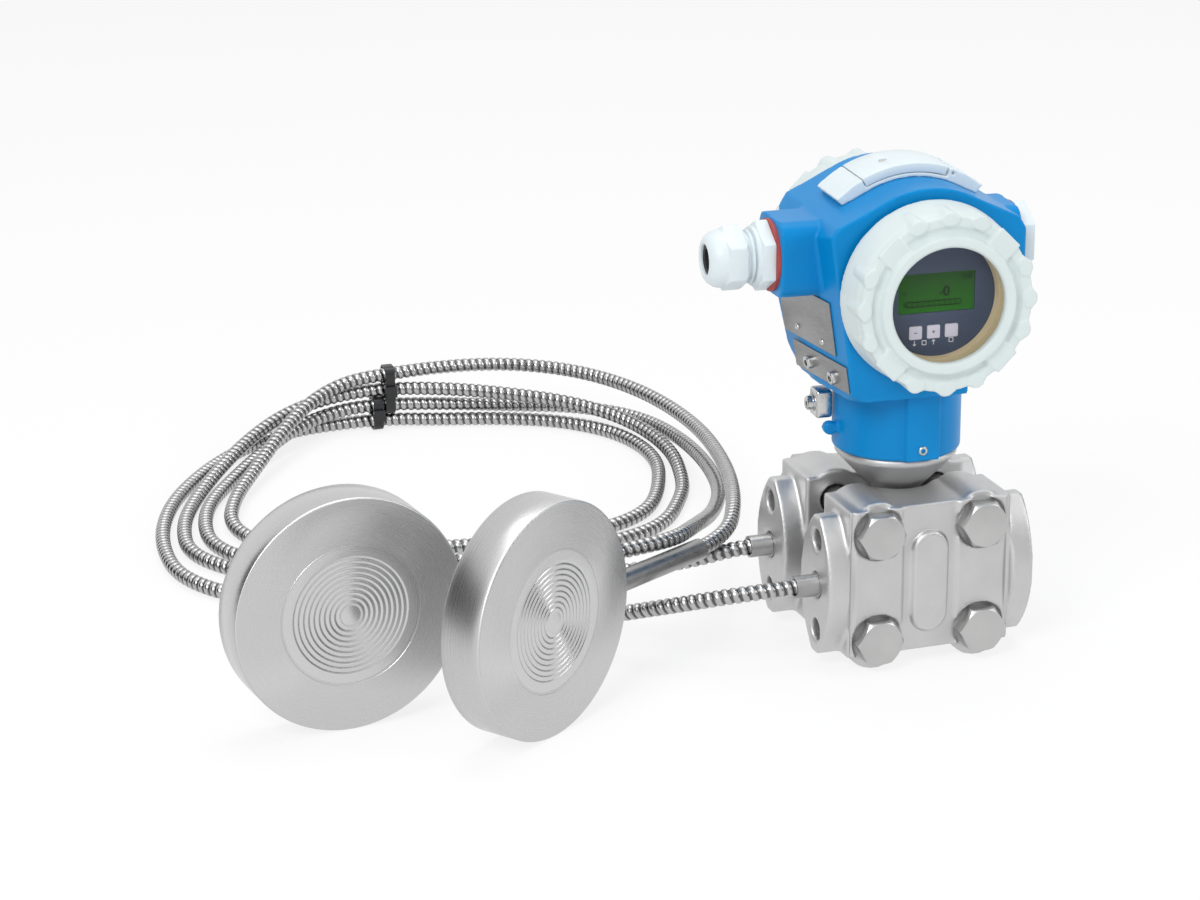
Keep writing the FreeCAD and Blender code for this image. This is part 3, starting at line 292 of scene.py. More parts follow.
# %% [markdown]
# ## Cast and machined stainless
# The flanges are investment castings of austenitic stainless, blasted with glass beads after
# casting.  The blasting leaves a fine even grain that scatters light, so they look matt and
# silvery.  Turned faces keep the marks of the lathe tool, which run round the axis and stretch
# every highlight across them.

# %% Stainless finishes
def blasted_steel(name, code, shade, roughness, grain):
    """Bead-blasted stainless: a dense field of tiny dents, so the highlight is wide and soft."""
    material, tree, shader = start_material(name, Metallic=1.0)
    place = node(tree, "ShaderNodeTexCoord").outputs["Object"]
    dents = node(tree, "ShaderNodeTexNoise", {"Vector": place, "Scale": per_mm(grain), "Detail": 4,
                                              "Roughness": 0.65})
    cloud = node(tree, "ShaderNodeTexNoise", {"Vector": place, "Scale": per_mm(14), "Detail": 4})
    tint = node(tree, "ShaderNodeMix", {"Factor": cloud.outputs["Fac"], "A": colour(code),
                                        "B": colour(shade)}, data_type="RGBA")
    gloss = node(tree, "ShaderNodeMapRange", {"Value": dents.outputs["Fac"], "From Min": 0.3,
                                              "From Max": 0.7, "To Min": roughness - 0.08,
                                              "To Max": roughness + 0.08})
    bump = node(tree, "ShaderNodeBump", {"Height": dents.outputs["Fac"], "Strength": 0.6,
                                         "Distance": 0.00012})
    connect(tree, shader, Base_Color=tint.outputs["Result"], Roughness=gloss.outputs["Result"],
            Normal=bump.outputs["Normal"])
    return material


def lathe_steel(name, code, roughness, anisotropy, mark_mm, depth):
    """Turned stainless: the piece's UV map runs u round the axis and v along the tool's path."""
    material, tree, shader = start_material(name, Metallic=1.0, Base_Color=colour(code),
                                            Anisotropic=anisotropy)
    lay = node(tree, "ShaderNodeUVMap", uv_map="lathe").outputs["UV"]
    across = node(tree, "ShaderNodeSeparateXYZ", {"Vector": lay})
    marks = node(tree, "ShaderNodeTexNoise", {"W": across.outputs["Y"], "Scale": per_mm(mark_mm),
                                              "Detail": 3}, noise_dimensions="1D")
    gloss = node(tree, "ShaderNodeMapRange", {"Value": marks.outputs["Fac"], "From Min": 0.3,
                                              "From Max": 0.7, "To Min": roughness - 0.06,
                                              "To Max": roughness + 0.06})
    bump = node(tree, "ShaderNodeBump", {"Height": marks.outputs["Fac"], "Strength": 0.35,
                                         "Distance": depth})
    round_axis = node(tree, "ShaderNodeTangent", direction_type="UV_MAP", uv_map="lathe")
    connect(tree, shader, Roughness=gloss.outputs["Result"], Normal=bump.outputs["Normal"],
            Tangent=round_axis.outputs["Tangent"])
    return material


MATERIALS["cast_stainless"] = blasted_steel("bead_blasted_casting", "#D0D0D0", "#BFBFBF", 0.46, 0.55)
MATERIALS["bolt_steel"] = blasted_steel("cold_headed_bolt_steel", "#C6C6C5", "#B2B2B2", 0.34, 0.5)
MATERIALS["turned_stainless"] = lathe_steel("face_turned_stainless", "#C6C6C6", 0.3, 0.85, 0.35, 0.000004)
MATERIALS["foil"] = lathe_steel("pressed_stainless_foil", "#CBCBCB", 0.26, 0.5, 0.3, 0.000002)
print("steels:", len(MATERIALS))

# %% [markdown]
# ## Smaller metals
# The armour's creases get painted shade: its material darkens each point by how deep it lies,
# read from an attribute that the strip carries.  The plates are brushed along their length: a
# noise that is stretched fiftyfold in one direction.

# %% Armour, plates and plated screws
def armour_steel():
    """Rolled stainless strip: bright ribs, with painted shade darkening the creases."""
    material, tree, shader = start_material("rolled_strip_stainless", Metallic=1.0)
    depth = node(tree, "ShaderNodeAttribute", attribute_name="crease_shade").outputs["Fac"]
    place = node(tree, "ShaderNodeTexCoord").outputs["Object"]
    smear = node(tree, "ShaderNodeTexNoise", {"Vector": place, "Scale": per_mm(6), "Detail": 3})
    bright = node(tree, "ShaderNodeMix", {"Factor": smear.outputs["Fac"], "A": colour("#C2C2C2"),
                                          "B": colour("#ABABAB")}, data_type="RGBA")
    # Painted shade: the deeper a point lies in a crease, the nearer its colour comes to #5A5A5A.
    tint = node(tree, "ShaderNodeMix", {"Factor": depth, "A": bright.outputs["Result"],
                                        "B": colour("#5A5A5A")}, data_type="RGBA")
    gloss = node(tree, "ShaderNodeMapRange", {"Value": smear.outputs["Fac"], "To Min": 0.2,
                                              "To Max": 0.36})
    connect(tree, shader, Base_Color=tint.outputs["Result"], Roughness=gloss.outputs["Result"])
    return material


def brushed_sheet(name, code, shade, roughness):
    """Stainless sheet brushed along its length, before it is cut to shape."""
    material, tree, shader = start_material(name, Metallic=1.0, Roughness=roughness)
    place = node(tree, "ShaderNodeTexCoord").outputs["Object"]
    along = node(tree, "ShaderNodeMapping", {"Vector": place, "Scale": (1, 0.02, 1)})
    lines = node(tree, "ShaderNodeTexNoise", {"Vector": along.outputs["Vector"], "Scale": per_mm(0.5),
                                              "Detail": 3})
    tint = node(tree, "ShaderNodeMix", {"Factor": lines.outputs["Fac"], "A": colour(code),
                                        "B": colour(shade)}, data_type="RGBA")
    bump = node(tree, "ShaderNodeBump", {"Height": lines.outputs["Fac"], "Strength": 0.3,
                                         "Distance": 0.00003})
    connect(tree, shader, Base_Color=tint.outputs["Result"], Normal=bump.outputs["Normal"])
    return material


MATERIALS["armour"] = armour_steel()
MATERIALS["plate_metal"] = brushed_sheet("brushed_plate", "#A8A8A8", "#868686", 0.36)
MATERIALS["plated_metal"] = blasted_steel("bright_plated_steel", "#D0D0CE", "#BBBBB9", 0.24, 2.5)
MATERIALS["drawn_tube"] = blasted_steel("drawn_stainless_tube", "#A9A9A9", "#8E8E8E", 0.34, 5)
for hose in (high_armour, low_armour):
    hose.data.materials.append(MATERIALS["armour"])
print("small metals done")

# %% [markdown]
# ## Plastics, rubber and glass
# Moulded parts share one recipe: an even body colour, a faint spark-eroded texture from the mould
# and a gloss that depends on the polymer.  Only their numbers differ.

# %% Moulded finishes
def moulded(name, code, shade, roughness, grain, depth, **sockets):
    """An injection-moulded or pressed part with the fine texture of its mould."""
    material, tree, shader = start_material(name, **sockets)
    place = node(tree, "ShaderNodeTexCoord").outputs["Object"]
    texture = node(tree, "ShaderNodeTexNoise", {"Vector": place, "Scale": per_mm(grain), "Detail": 3})
    flow = node(tree, "ShaderNodeTexNoise", {"Vector": place, "Scale": per_mm(12), "Detail": 2})
    tint = node(tree, "ShaderNodeMix", {"Factor": flow.outputs["Fac"], "A": colour(code),
                                        "B": colour(shade)}, data_type="RGBA")
    gloss = node(tree, "ShaderNodeMapRange", {"Value": texture.outputs["Fac"], "To Min": roughness - 0.05,
                                              "To Max": roughness + 0.05})
    bump = node(tree, "ShaderNodeBump", {"Height": texture.outputs["Fac"], "Strength": 0.3,
                                         "Distance": depth})
    connect(tree, shader, Base_Color=tint.outputs["Result"], Roughness=gloss.outputs["Result"],
            Normal=bump.outputs["Normal"])
    return material


MATERIALS["flap_plastic"] = moulded("polyamide_light_grey", "#DCE6EA", "#D3DEE2", 0.4, 0.6, 0.00003)
MATERIALS["bezel"] = moulded("satin_slate_polycarbonate", "#34425F", "#2F3B56", 0.5, 0.4, 0.00002)
MATERIALS["key_plastic"] = moulded("silicone_keypad", "#D6D3E0", "#CBC8D8", 0.5, 0.5, 0.00002)
MATERIALS["dark_plastic"] = moulded("glass_filled_polyamide", "#232529", "#2B2D31", 0.5, 0.5, 0.00004)
MATERIALS["black_nylon"] = moulded("black_nylon_tie", "#17181A", "#202124", 0.35, 0.8, 0.00003)
MATERIALS["red_seal"] = moulded("red_silicone_rubber", "#B2443F", "#A23C38", 0.55, 0.8, 0.00003)
MATERIALS["black_seal"] = moulded("nitrile_rubber", "#141414", "#1C1C1C", 0.6, 0.8, 0.00003)
MATERIALS["display_ring"] = moulded("cream_sealing_ring", "#DCC9A2", "#CFBB92", 0.45, 0.8, 0.00002)
MATERIALS["liquid_crystal"] = moulded("liquid_crystal_segment", "#040704", "#050905", 0.3, 0.5, 0.00001,
                                      IOR=1.02)
MATERIALS["print_white"] = moulded("white_screen_print", "#E4E4E8", "#DADADF", 0.5, 0.5, 0.00001)
MATERIALS["print_black"] = moulded("black_screen_print", "#26262B", "#2E2E33", 0.5, 0.5, 0.00001)


SCREEN_MIDDLE = 170.2
SCREEN_HALF = 8.6


def panel_with_painted_glow():
    """A reflective liquid-crystal panel, green and darker towards the top, with a faint painted glow in its
    own colour.
    """
    # Emission Strength 0.08 is a painted glow in the panel's own colour.
    material, tree, shader = start_material("green_liquid_crystal_panel", Roughness=0.25, IOR=1.05,
                                            Emission_Strength=0.08)
    place = node(tree, "ShaderNodeTexCoord").outputs["Object"]
    height = node(tree, "ShaderNodeSeparateXYZ", {"Vector": place})
    fade = node(tree, "ShaderNodeMapRange", {"Value": height.outputs["Z"],
                                             "From Min": (SCREEN_MIDDLE - SCREEN_HALF) * MM,
                                             "From Max": (SCREEN_MIDDLE + SCREEN_HALF) * MM})
    dots = node(tree, "ShaderNodeTexNoise", {"Vector": place, "Scale": per_mm(0.6), "Detail": 2})
    tint = node(tree, "ShaderNodeMix", {"Factor": fade.outputs["Result"], "A": colour("#23700E"),
                                        "B": colour("#2C4627")}, data_type="RGBA")
    speckle = node(tree, "ShaderNodeMix", {"Factor": dots.outputs["Fac"], "A": tint.outputs["Result"],
                                           "B": colour("#1C5210")}, data_type="RGBA")
    # The panel's own colour is fed to its emission as painted glow.
    connect(tree, shader, Base_Color=speckle.outputs["Result"],
            Emission_Color=speckle.outputs["Result"])
    return material


def window_pane():
    """Toughened glass with an anti-glare coat: almost clear, with a thin reflection."""
    material, tree, shader = start_material("toughened_window_glass", Base_Color=colour("#E8F2EE"),
                                            IOR=1.5, Alpha=0.012)
    place = node(tree, "ShaderNodeTexCoord").outputs["Object"]
    film = node(tree, "ShaderNodeTexNoise", {"Vector": place, "Scale": per_mm(20), "Detail": 2})
    gloss = node(tree, "ShaderNodeMapRange", {"Value": film.outputs["Fac"], "To Min": 0.03,
                                              "To Max": 0.07})
    connect(tree, shader, Roughness=gloss.outputs["Result"])
    return material


MATERIALS["display_green"] = panel_with_painted_glow()
MATERIALS["window_glass"] = window_pane()
print("all finishes:", len(MATERIALS))

# %% [markdown]
# ## Dressing the CAD pieces
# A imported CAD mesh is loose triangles.  Merging a copy of it and dissolving the flat triangles
# gives clean faces, whose sharp edges can then be bevelled.  Real edges are never perfectly sharp,
# and the bevel catches the thin bright line that makes metal and paint look solid.


def coat(mesh, finish_name):
    """Gives a whole mesh one finish."""
    mesh.materials.clear()
    mesh.materials.append(MATERIALS[finish_name])


def put(name, mesh, finish_name, body, replaced=None, slot=None):
    """The piece for a mesh, with its finish, its body and the CAD node that it stands for."""
    piece = linked(name, mesh)
    coat(mesh, finish_name)
    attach(piece, body)
    if replaced:
        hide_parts(replaced)
    slot = slot or finish_name
    return piece


def merged_copy(source):
    """The CAD node's mesh with its doubled corners merged, in a bmesh."""
    work = bmesh.new()
    work.from_mesh(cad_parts[source].data)
    bmesh.ops.remove_doubles(work, verts=work.verts, dist=0.002 * MM)
    return work


def to_mesh(work, name, sharp_angle=32):
    """Writes a bmesh out, shaded smooth except at edges sharper than an angle."""
    mesh = bpy.data.meshes.new(name)
    work.to_mesh(mesh)
    work.free()
    smooth(mesh)
    mesh.set_sharp_from_angle(angle=math.radians(sharp_angle))
    return mesh


def ease_edges(work, edges, width, steps):
    """Bevels edges of a bmesh by a width in millimetres."""
    bmesh.ops.bevel(work, geom=edges, offset=width * MM, segments=steps, profile=0.5, affect="EDGES",
                    material=-1, clamp_overlap=True)


def ease_sharp(work, width, sharp_angle):
    """Dissolves the flat triangles, then bevels every edge that is sharper than an angle."""
    bmesh.ops.dissolve_limit(work, angle_limit=math.radians(1), verts=work.verts, edges=work.edges)
    ease_edges(work, [edge for edge in work.edges
                      if edge.is_manifold and edge.calc_face_angle(0) > math.radians(sharp_angle)],
               width, 2)


def softened(name, source, finish_name, body, width):
    """A copy of a CAD node with a fine bevel on its sharp edges."""
    work = merged_copy(source)
    ease_sharp(work, width, 32)
    bmesh.ops.triangulate(work, faces=[face for face in work.faces if len(face.verts) > 4])
    return put(name, to_mesh(work, name), finish_name, body, source)


# %% Pieces that only need a fine bevel
BEVELLED = [
    ("flange_bolts", "bolt_steel", "process", 0.4), ("flange_nuts", "bolt_steel", "process", 0.4),
    ("flap", "flap_plastic", "flap", 0.6),
    ("blanking_plug", "flap_plastic", "housing", 0.6),
    ("high_ferrule", "drawn_tube", "process", 0.3),
    ("low_ferrule", "drawn_tube", "process", 0.3),
]
for source, finish_name, body, width in BEVELLED:
    piece = softened(source + "_dressed", source, finish_name, body, width)
    print(piece.name, len(piece.data.polygons), "faces")

# %% Plain CAD pieces and their finishes
PLAIN = {
    "plated_metal": ["flap_pin", "flap_screw"],
    "red_seal": ["gland_seal", "plug_seal"],
    "black_seal": ["front_cover_seal", "rear_cover_seal", "high_gasket", "low_gasket"],
    "dark_plastic": ["gland_insert", "terminal_block", "electronics_insert", "zero_key", "reset_key",
                     "span_key"],
    "bezel": ["display_bezel"],
    "display_green": ["display_screen"],
    "display_ring": ["display_ring"],
    "key_plastic": ["minus_key", "plus_key", "enter_key"],
    "window_glass": ["front_window"],
    "cast_stainless": ["sensor_cell"],
    "drawn_tube": ["high_seal_tube", "low_seal_tube"],
    "black_nylon": ["upper_tie", "lower_tie"],
}
for finish_name, nodes in PLAIN.items():
    for name in nodes:
        coat(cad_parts[name].data, finish_name)
print("CAD nodes that stay:", sum(len(nodes) for nodes in PLAIN.values()))

# %% [markdown]
# ## Turned pieces
# Whatever comes off a lathe is a profile spun about its axis.  It gets a UV map whose u runs round
# the axis and whose v runs along the tool's path, which the lathe finish needs.

# %% Spin a profile
SPIN_STEPS = 128


def spun(name, profile, steps=SPIN_STEPS):
    """Spins a profile of (radius, depth) about the Y axis, with u round the axis and v along it."""
    work = bmesh.new()
    lay = work.loops.layers.uv.new("lathe")
    points = [work.verts.new((radius * MM, depth * MM, 0)) for radius, depth in profile]
    edges = [work.edges.new(pair) for pair in zip(points, points[1:])]
    bmesh.ops.spin(work, geom=points + edges, cent=(0, 0, 0), axis=(0, 1, 0), angle=math.tau,
                   steps=steps, use_merge=True)
    bmesh.ops.remove_doubles(work, verts=work.verts, dist=0.001 * MM)
    bmesh.ops.recalc_face_normals(work, faces=work.faces)
    for face in work.faces:
        middle = face.calc_center_median()
        middle_turn = math.atan2(middle.z, middle.x)
        for corner in face.loops:
            place = corner.vert.co
            radius = math.hypot(place.x, place.z)
            turn = math.atan2(place.z, place.x) if radius > 0.01 * MM else middle_turn
            turn += math.tau * round((middle_turn - turn) / math.tau)
            corner[lay].uv = (turn / math.tau, radius + place.y)
    return to_mesh(work, name, 28)


print("a spun piece has", SPIN_STEPS, "steps round its axis")

# %% [markdown]
# ## Cast flanges
# An investment casting has no sharp edge: wax and slurry round them all off.  A voxel remesh turns
# the flange into an even skin, a Smooth modifier then melts its edges, and moving single points
# afterwards shapes the face: flat between the bolt bosses, with a long oval pad in its middle.

# %% Flange castings
FLANGE_AXIS_Z = 38.0
FACE_DEPTH = 38.5
OVAL_HALF_WIDTH = 8.3
OVAL_HALF_HEIGHT = 23.0
OVAL_RISE = 2.4
COLUMN_PLACE = 24.2
COLUMN_HALF = 11.5
COLUMN_RISE = 1.3
LENS_START = 36.5
LENS_END = 42.0


def ramp(value, start, end):
    """0 before the start, 1 past the end and a smooth slope between them."""
    share = min(1.0, max(0.0, (value - start) / (end - start)))
    return share * share * (3 - 2 * share)


def face_depth(across, up):
    """How far the worked face of a flange may stand out at a place, in millimetres."""
    straight = OVAL_HALF_HEIGHT - OVAL_HALF_WIDTH
    from_oval = math.hypot(across, max(0.0, abs(up - FLANGE_AXIS_Z) - straight)) - OVAL_HALF_WIDTH
    from_column = abs(abs(across) - COLUMN_PLACE) - COLUMN_HALF
    return (FACE_DEPTH + COLUMN_RISE * (1 - ramp(from_column, -0.9, 0.9))
            + OVAL_RISE * (1 - ramp(from_oval, -0.7, 0.7))
            + 12 * ramp(abs(across), LENS_START, LENS_END))


def cast_skin(mesh, voxel, melts, keep=1.0):
    """A voxel skin over a mesh, melted by smoothing and thinned to the share that is kept."""
    block = linked("block", mesh)
    skin = block.modifiers.new("skin", "REMESH")
    skin.mode = "VOXEL"
    skin.voxel_size = voxel * MM
    melt = block.modifiers.new("melt", "SMOOTH")
    melt.factor = 0.5
    melt.iterations = melts
    if keep < 1:
        thin = block.modifiers.new("thin", "DECIMATE")
        thin.ratio = keep
    result = smooth(evaluated(block))
    bpy.data.objects.remove(block)
    return result


def cast_flange(name, source):
    """A softened skin over the CAD flange, with its outer face flattened between the bosses."""
    mesh = cast_skin(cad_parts[source].data.copy(), 0.85, 4)
    for vertex in mesh.vertices:
        limit = face_depth(vertex.co.x / MM, vertex.co.z / MM) * MM
        vertex.co.y = max(-limit, min(limit, vertex.co.y))
    return put(name, mesh, "cast_stainless", "process", source)


for side in ("high", "low"):
    piece = cast_flange(side + "_casting", side + "_flange")
    print(piece.name, len(piece.data.polygons), "faces")

# %% [markdown]
# ## The head's casting
# The head's left side is one flat plane that leans and is swung a little about the upright, and it
# carries both plates.  Booleans cut the CAD housing back to that plane, to a slimmer neck and to
# the round below its right side.  The cable entry's boss, the lock screw's pad and the ground lug
# are laid on, and one voxel skin fuses them all as a die would.  The plane's own matrix lays the
# plates and their screws later.

# %% Housing
HEAD_TURN = Matrix.Rotation(math.radians(-3.5), 4, "Z")
HEAD_AXIS = 168.0
SIDE_LEAN = math.atan2(6, 39)
SIDE_SWING = math.radians(9)


def moved(across, back, up):
    """A matrix that moves a shape by lengths in millimetres."""
    return Matrix.Translation(Vector((across, back, up)) * MM)


def at_head(across, back, up, turn=0, axis="Z"):
    """A matrix that turns a shape by degrees and stands it at a place in the head's measures."""
    return HEAD_TURN @ moved(across, back, up) @ Matrix.Rotation(math.radians(turn), 4, axis)


SIDE_PLANE = (at_head(-47, 20, 163) @ Matrix.Rotation(SIDE_SWING, 4, "Z")
              @ Matrix.Rotation(-SIDE_LEAN, 4, "Y"))


def block_mesh(low, high, matrix, ease=0, steps=1, only_along_x=False):
    """A box between two corners, in millimetres, with eased edges, laid by a matrix."""
    work = bmesh.new()
    bmesh.ops.create_cube(work, size=1)
    bmesh.ops.scale(work, verts=work.verts, vec=(Vector(high) - Vector(low)) * MM)
    bmesh.ops.translate(work, verts=work.verts, vec=(Vector(low) + Vector(high)) / 2 * MM)
    if ease:
        edges = [edge for edge in work.edges
                 if not only_along_x or abs(edge.verts[0].co.x - edge.verts[1].co.x) > 1 * MM]
        ease_edges(work, edges, ease, steps)
    bmesh.ops.transform(work, verts=work.verts, matrix=matrix)
    return to_mesh(work, "block")


def carve(mesh, tool, operation):
    """The mesh after an exact Boolean with a tool mesh."""
    base = linked("base", mesh)
    other = linked("tool", tool)
    step = base.modifiers.new("carve", "BOOLEAN")
    step.operation = operation
    step.object = other
    step.solver = "EXACT"
    result = evaluated(base)
    for made in (base, other):
        bpy.data.objects.remove(made)
    return result


def upright_rod(radius, low, high, steps=96):
    """A rod about the Z axis between two heights.  Six steps make a hexagon bar."""
    work = bmesh.new()
    bmesh.ops.create_cone(work, cap_ends=True, segments=steps, radius1=radius * MM,
                          radius2=radius * MM, depth=(high - low) * MM)
    bmesh.ops.translate(work, verts=work.verts, vec=(0, 0, (low + high) / 2 * MM))
    return to_mesh(work, "rod")


def joined(meshes):
    """One mesh that holds them all."""
    work = bmesh.new()
    for mesh in meshes:
        work.from_mesh(mesh)
    return to_mesh(work, "joined")


NECK_RADIUS = 28.2
NECK_FOOT = 89.5
NECK_TOP = 120.0
ARCH_RADIUS = 44.0
REACH = 120
shell = to_mesh(merged_copy("housing"), "head_casting")
arch = upright_rod(ARCH_RADIUS, -REACH, REACH)
arch.transform(at_head(0, 0, HEAD_AXIS, 90, "X"))
beyond_side = block_mesh((-REACH, -REACH, -51), (0, REACH, REACH), SIDE_PLANE)
outside_neck = carve(block_mesh((-REACH, -REACH, NECK_FOOT - 1), (REACH, REACH, NECK_TOP), HEAD_TURN),
                     upright_rod(NECK_RADIUS, NECK_FOOT - 5, NECK_TOP + 5), "DIFFERENCE")
below_right = carve(block_mesh((20, -REACH, NECK_TOP - 1), (REACH, REACH, 163.5), HEAD_TURN),
                    arch, "DIFFERENCE")
for tool in (beyond_side, outside_neck, below_right):
    shell = carve(shell, tool, "DIFFERENCE")
print("carved shell:", len(shell.polygons), "faces")

# %% Bosses and the skin over all
entry_boss = block_mesh((-60, -19.5, 163.5), (-36, 13.5, 196.5), HEAD_TURN, 7, 6, only_along_x=True)
lock_pad = block_mesh((-6.2, -NECK_RADIUS - 1.4, NECK_FOOT), (9.3, -22.5, NECK_TOP + 3), HEAD_TURN)
lug = upright_rod(3, -2.2, 2.2, 32)
lug.transform(at_head(-NECK_RADIUS - 3.4, -2, 99.5, 90, "X"))
lug_root = block_mesh((-NECK_RADIUS - 2, -4.2, 98.5), (-NECK_RADIUS + 1.5, 0.2, 100.5), HEAD_TURN)
casting = cast_skin(joined([shell, entry_boss, lock_pad, lug, lug_root]), 0.75, 3, 0.6)
put("head_casting", casting, "blue_paint", "housing", "housing")
print("head casting:", len(casting.polygons), "faces")

# %% [markdown]
# ## Covers and flap frame
# Both covers are die castings whose lobed rim gives a hand its grip.  The CAD solid has every lobe
# and step, so it only needs the roundness that paint and mould leave.  Its rim is first drawn in a
# little, to the circle that it has on the object.  The flap frame is moulded and gets the same skin.

# %% Covers
COVER_TRIM = 2.5
TRIM_START = 37.0
TRIM_END = 41.5


def cover_casting(name, source):
    """The cover with its rim trimmed to a slightly smaller circle, under one soft skin."""
    work = merged_copy(source)
    head = at_head(0, 0, HEAD_AXIS)
    for vertex in work.verts:
        place = head.inverted() @ vertex.co
        radius = math.hypot(place.x, place.z) / MM
        share = (radius - COVER_TRIM * ramp(radius, TRIM_START, TRIM_END)) / max(radius, 0.001)
        vertex.co = head @ Vector((place.x * share, place.y, place.z * share))
    skin = cast_skin(to_mesh(work, name), 0.6, 2, 0.45)
    return put(name, skin, "pale_paint", source, source)


for source in ("front_cover", "rear_cover"):
    piece = cover_casting(source + "_casting", source)
    print(piece.name, len(piece.data.polygons), "faces")

# %% Flap frame
frame_skin = cast_skin(to_mesh(merged_copy("flap_frame"), "flap_frame_skin"), 0.45, 4, 0.5)
put("flap_frame_skin", frame_skin, "flap_plastic", "housing", "flap_frame")
print("flap frame:", len(frame_skin.polygons), "faces")

# %% [markdown]
# ## Plates and screws on the side
# Each plate is one outline in the side plane's own measures, extruded by the sheet's thickness.
# Heads of screws and rivets are turned, so they are spun profiles laid by a matrix.

# %% Plates, rivets and screws
SHEET = 0.8


def plate(name, outline, source):
    """A sheet cut to an outline of (along, up) in the plane of the left side."""
    work = bmesh.new()
    face = work.faces.new([work.verts.new((0, along * MM, up * MM)) for along, up in outline])
    wall = bmesh.ops.extrude_face_region(work, geom=[face])
    outer = [item for item in wall["geom"] if isinstance(item, bmesh.types.BMVert)]
    bmesh.ops.translate(work, verts=outer, vec=(-SHEET * MM, 0, 0))
    bmesh.ops.recalc_face_normals(work, faces=work.faces)
    ease_edges(work, work.edges[:], 0.15, 2)
    bmesh.ops.transform(work, verts=work.verts, matrix=SIDE_PLANE)
    return put(name, to_mesh(work, name), "plate_metal", "housing", source)


def heads(name, profile, matrices, source):
    """One piece of equal plated heads, turned to a profile and each laid by its own matrix."""
    made = []
    for matrix in matrices:
        made.append(spun(name, profile, 40))
        made[-1].transform(matrix)
    piece = put(name, joined(made), "plated_metal", "housing", source)
    print(name, "has", len(made), "heads with", len(piece.data.polygons), "faces")
    return piece


def on_side(along, up):
    """Stands a head on the plate at a place along and up the left side."""
    return SIDE_PLANE @ moved(-SHEET, along, up) @ Matrix.Rotation(math.pi / 2, 4, "Z")


plate("nameplate_sheet", [(-44.7, -24.6), (-44.7, -0.3), (-16.9, -0.3), (2.4, -6.1), (2.0, -24.6)],
      "nameplate")
plate("tag_sheet", [(-53, -39.6), (-53, -27.4), (-5, -27.4), (-5, -39.6)], "tag_plate")
RIVET = [(0.0, 0.9), (0.5, 0.86), (1.0, 0.68), (1.35, 0.36), (1.5, 0.0)]
SOCKET_HEAD = [(0.0, 1.0), (1.25, 1.2), (1.35, 2.6), (2.3, 2.7), (2.8, 2.45), (3.0, 1.9), (3.0, 0.0)]
heads("rivet_heads", RIVET, [on_side(-10.8, -20.2), on_side(-33.3, -21.2)], "nameplate_rivets")
heads("tag_screw_heads", SOCKET_HEAD, [on_side(-20.2, -33.7), on_side(-41.6, -34.9)], "tag_screws")

# %% [markdown]
# ## Neck cone, ground clamp and lock screw
# A steel cone carries the head and narrows to the stem between the flanges.  The CAD cone is drawn
# in to meet the slimmer neck.  The ground clamp is a sawn block with a cheese-head screw, and a
# socket screw in the lock pad keeps the head from turning.

# %% Neck adapter
ADAPTER_STEM = 12.0
ADAPTER_SHARE = 0.725
work = merged_copy("neck_adapter")
for vertex in work.verts:
    radius = math.hypot(vertex.co.x, vertex.co.y) / MM
    if radius > ADAPTER_STEM:
        share = (ADAPTER_STEM + (radius - ADAPTER_STEM) * ADAPTER_SHARE) / radius
        vertex.co.x *= share
        vertex.co.y *= share
put("neck_cone", to_mesh(work, "neck_cone"), "cast_stainless", "process", "neck_adapter")
print("neck cone drawn in to", ADAPTER_SHARE, "of its flare")

# %% Ground clamp and lock screw
CLAMP_FACE = -36.6
CLAMP_BACK = 6.0
CLAMP_HEIGHT = 109.0
clamp = block_mesh((0, -5, -6.25), (7.5, 5, 6.25), at_head(CLAMP_FACE, CLAMP_BACK, CLAMP_HEIGHT), 1.3, 3)
put("clamp_block", clamp, "plated_metal", "housing", "ground_clamp")
CHEESE_HEAD = [(0.0, 1.6), (0.9, 1.6), (1.0, 3.0), (2.6, 3.1), (3.1, 2.7), (3.2, 0.9), (3.8, 0.8),
               (3.8, 0.0)]
heads("ground_screw_head", CHEESE_HEAD, [at_head(CLAMP_FACE, CLAMP_BACK, CLAMP_HEIGHT, 90)],
      "ground_screw")
LOCK_HEAD = [(0.0, 0.2), (1.0, 0.3), (1.05, 1.4), (1.8, 1.5), (2.0, 1.3), (2.0, 0.0)]
heads("lock_screw_head", LOCK_HEAD, [at_head(1.5, -NECK_RADIUS - 0.6, 94.5, 180)], "lock_screw")

# %% [markdown]
# ## The cable gland
# The gland is a hexagon that clamps the red washer, a thread that shows for a few millimetres and
# a dome nut.  The dome is a hexagon and a turned shape in one, so a Boolean keeps what both share.

# %% Gland
GLAND_PLACE = at_head(-61.6, -3, 180, 90)
BODY_FLATS = 27
NUT_FLATS = 25
BODY_TURNED = [(0.0, 0.0), (15.3, 0.0), (15.5, 0.4), (15.5, 4.9), (14.2, 5.6), (12.8, 5.7), (12.8, 7.4),
               (0.0, 7.4)]
NUT_TURNED = [(6.6, 12.0), (13.4, 12.0), (14.2, 12.8), (14.2, 19.8), (12.6, 20.6), (12.4, 22.4),
              (11.8, 24.4), (10.4, 26.4), (8.8, 27.5), (7.2, 27.8), (6.6, 27.3), (6.6, 12.0)]
THREAD = [(6.6, 7.0), (10.2, 7.0), (10.2, 8.0), (11.5, 8.4), (11.5, 9.3), (10.2, 9.7), (10.2, 10.3),
          (11.3, 10.7), (11.3, 11.4), (10.2, 11.8), (10.2, 13.0), (6.6, 13.0), (6.6, 7.0)]
CABLE_RUBBER = [(4.9, 12.3), (6.5, 12.3), (6.5, 26.4), (5.6, 26.7), (4.9, 26.0), (4.9, 12.3)]


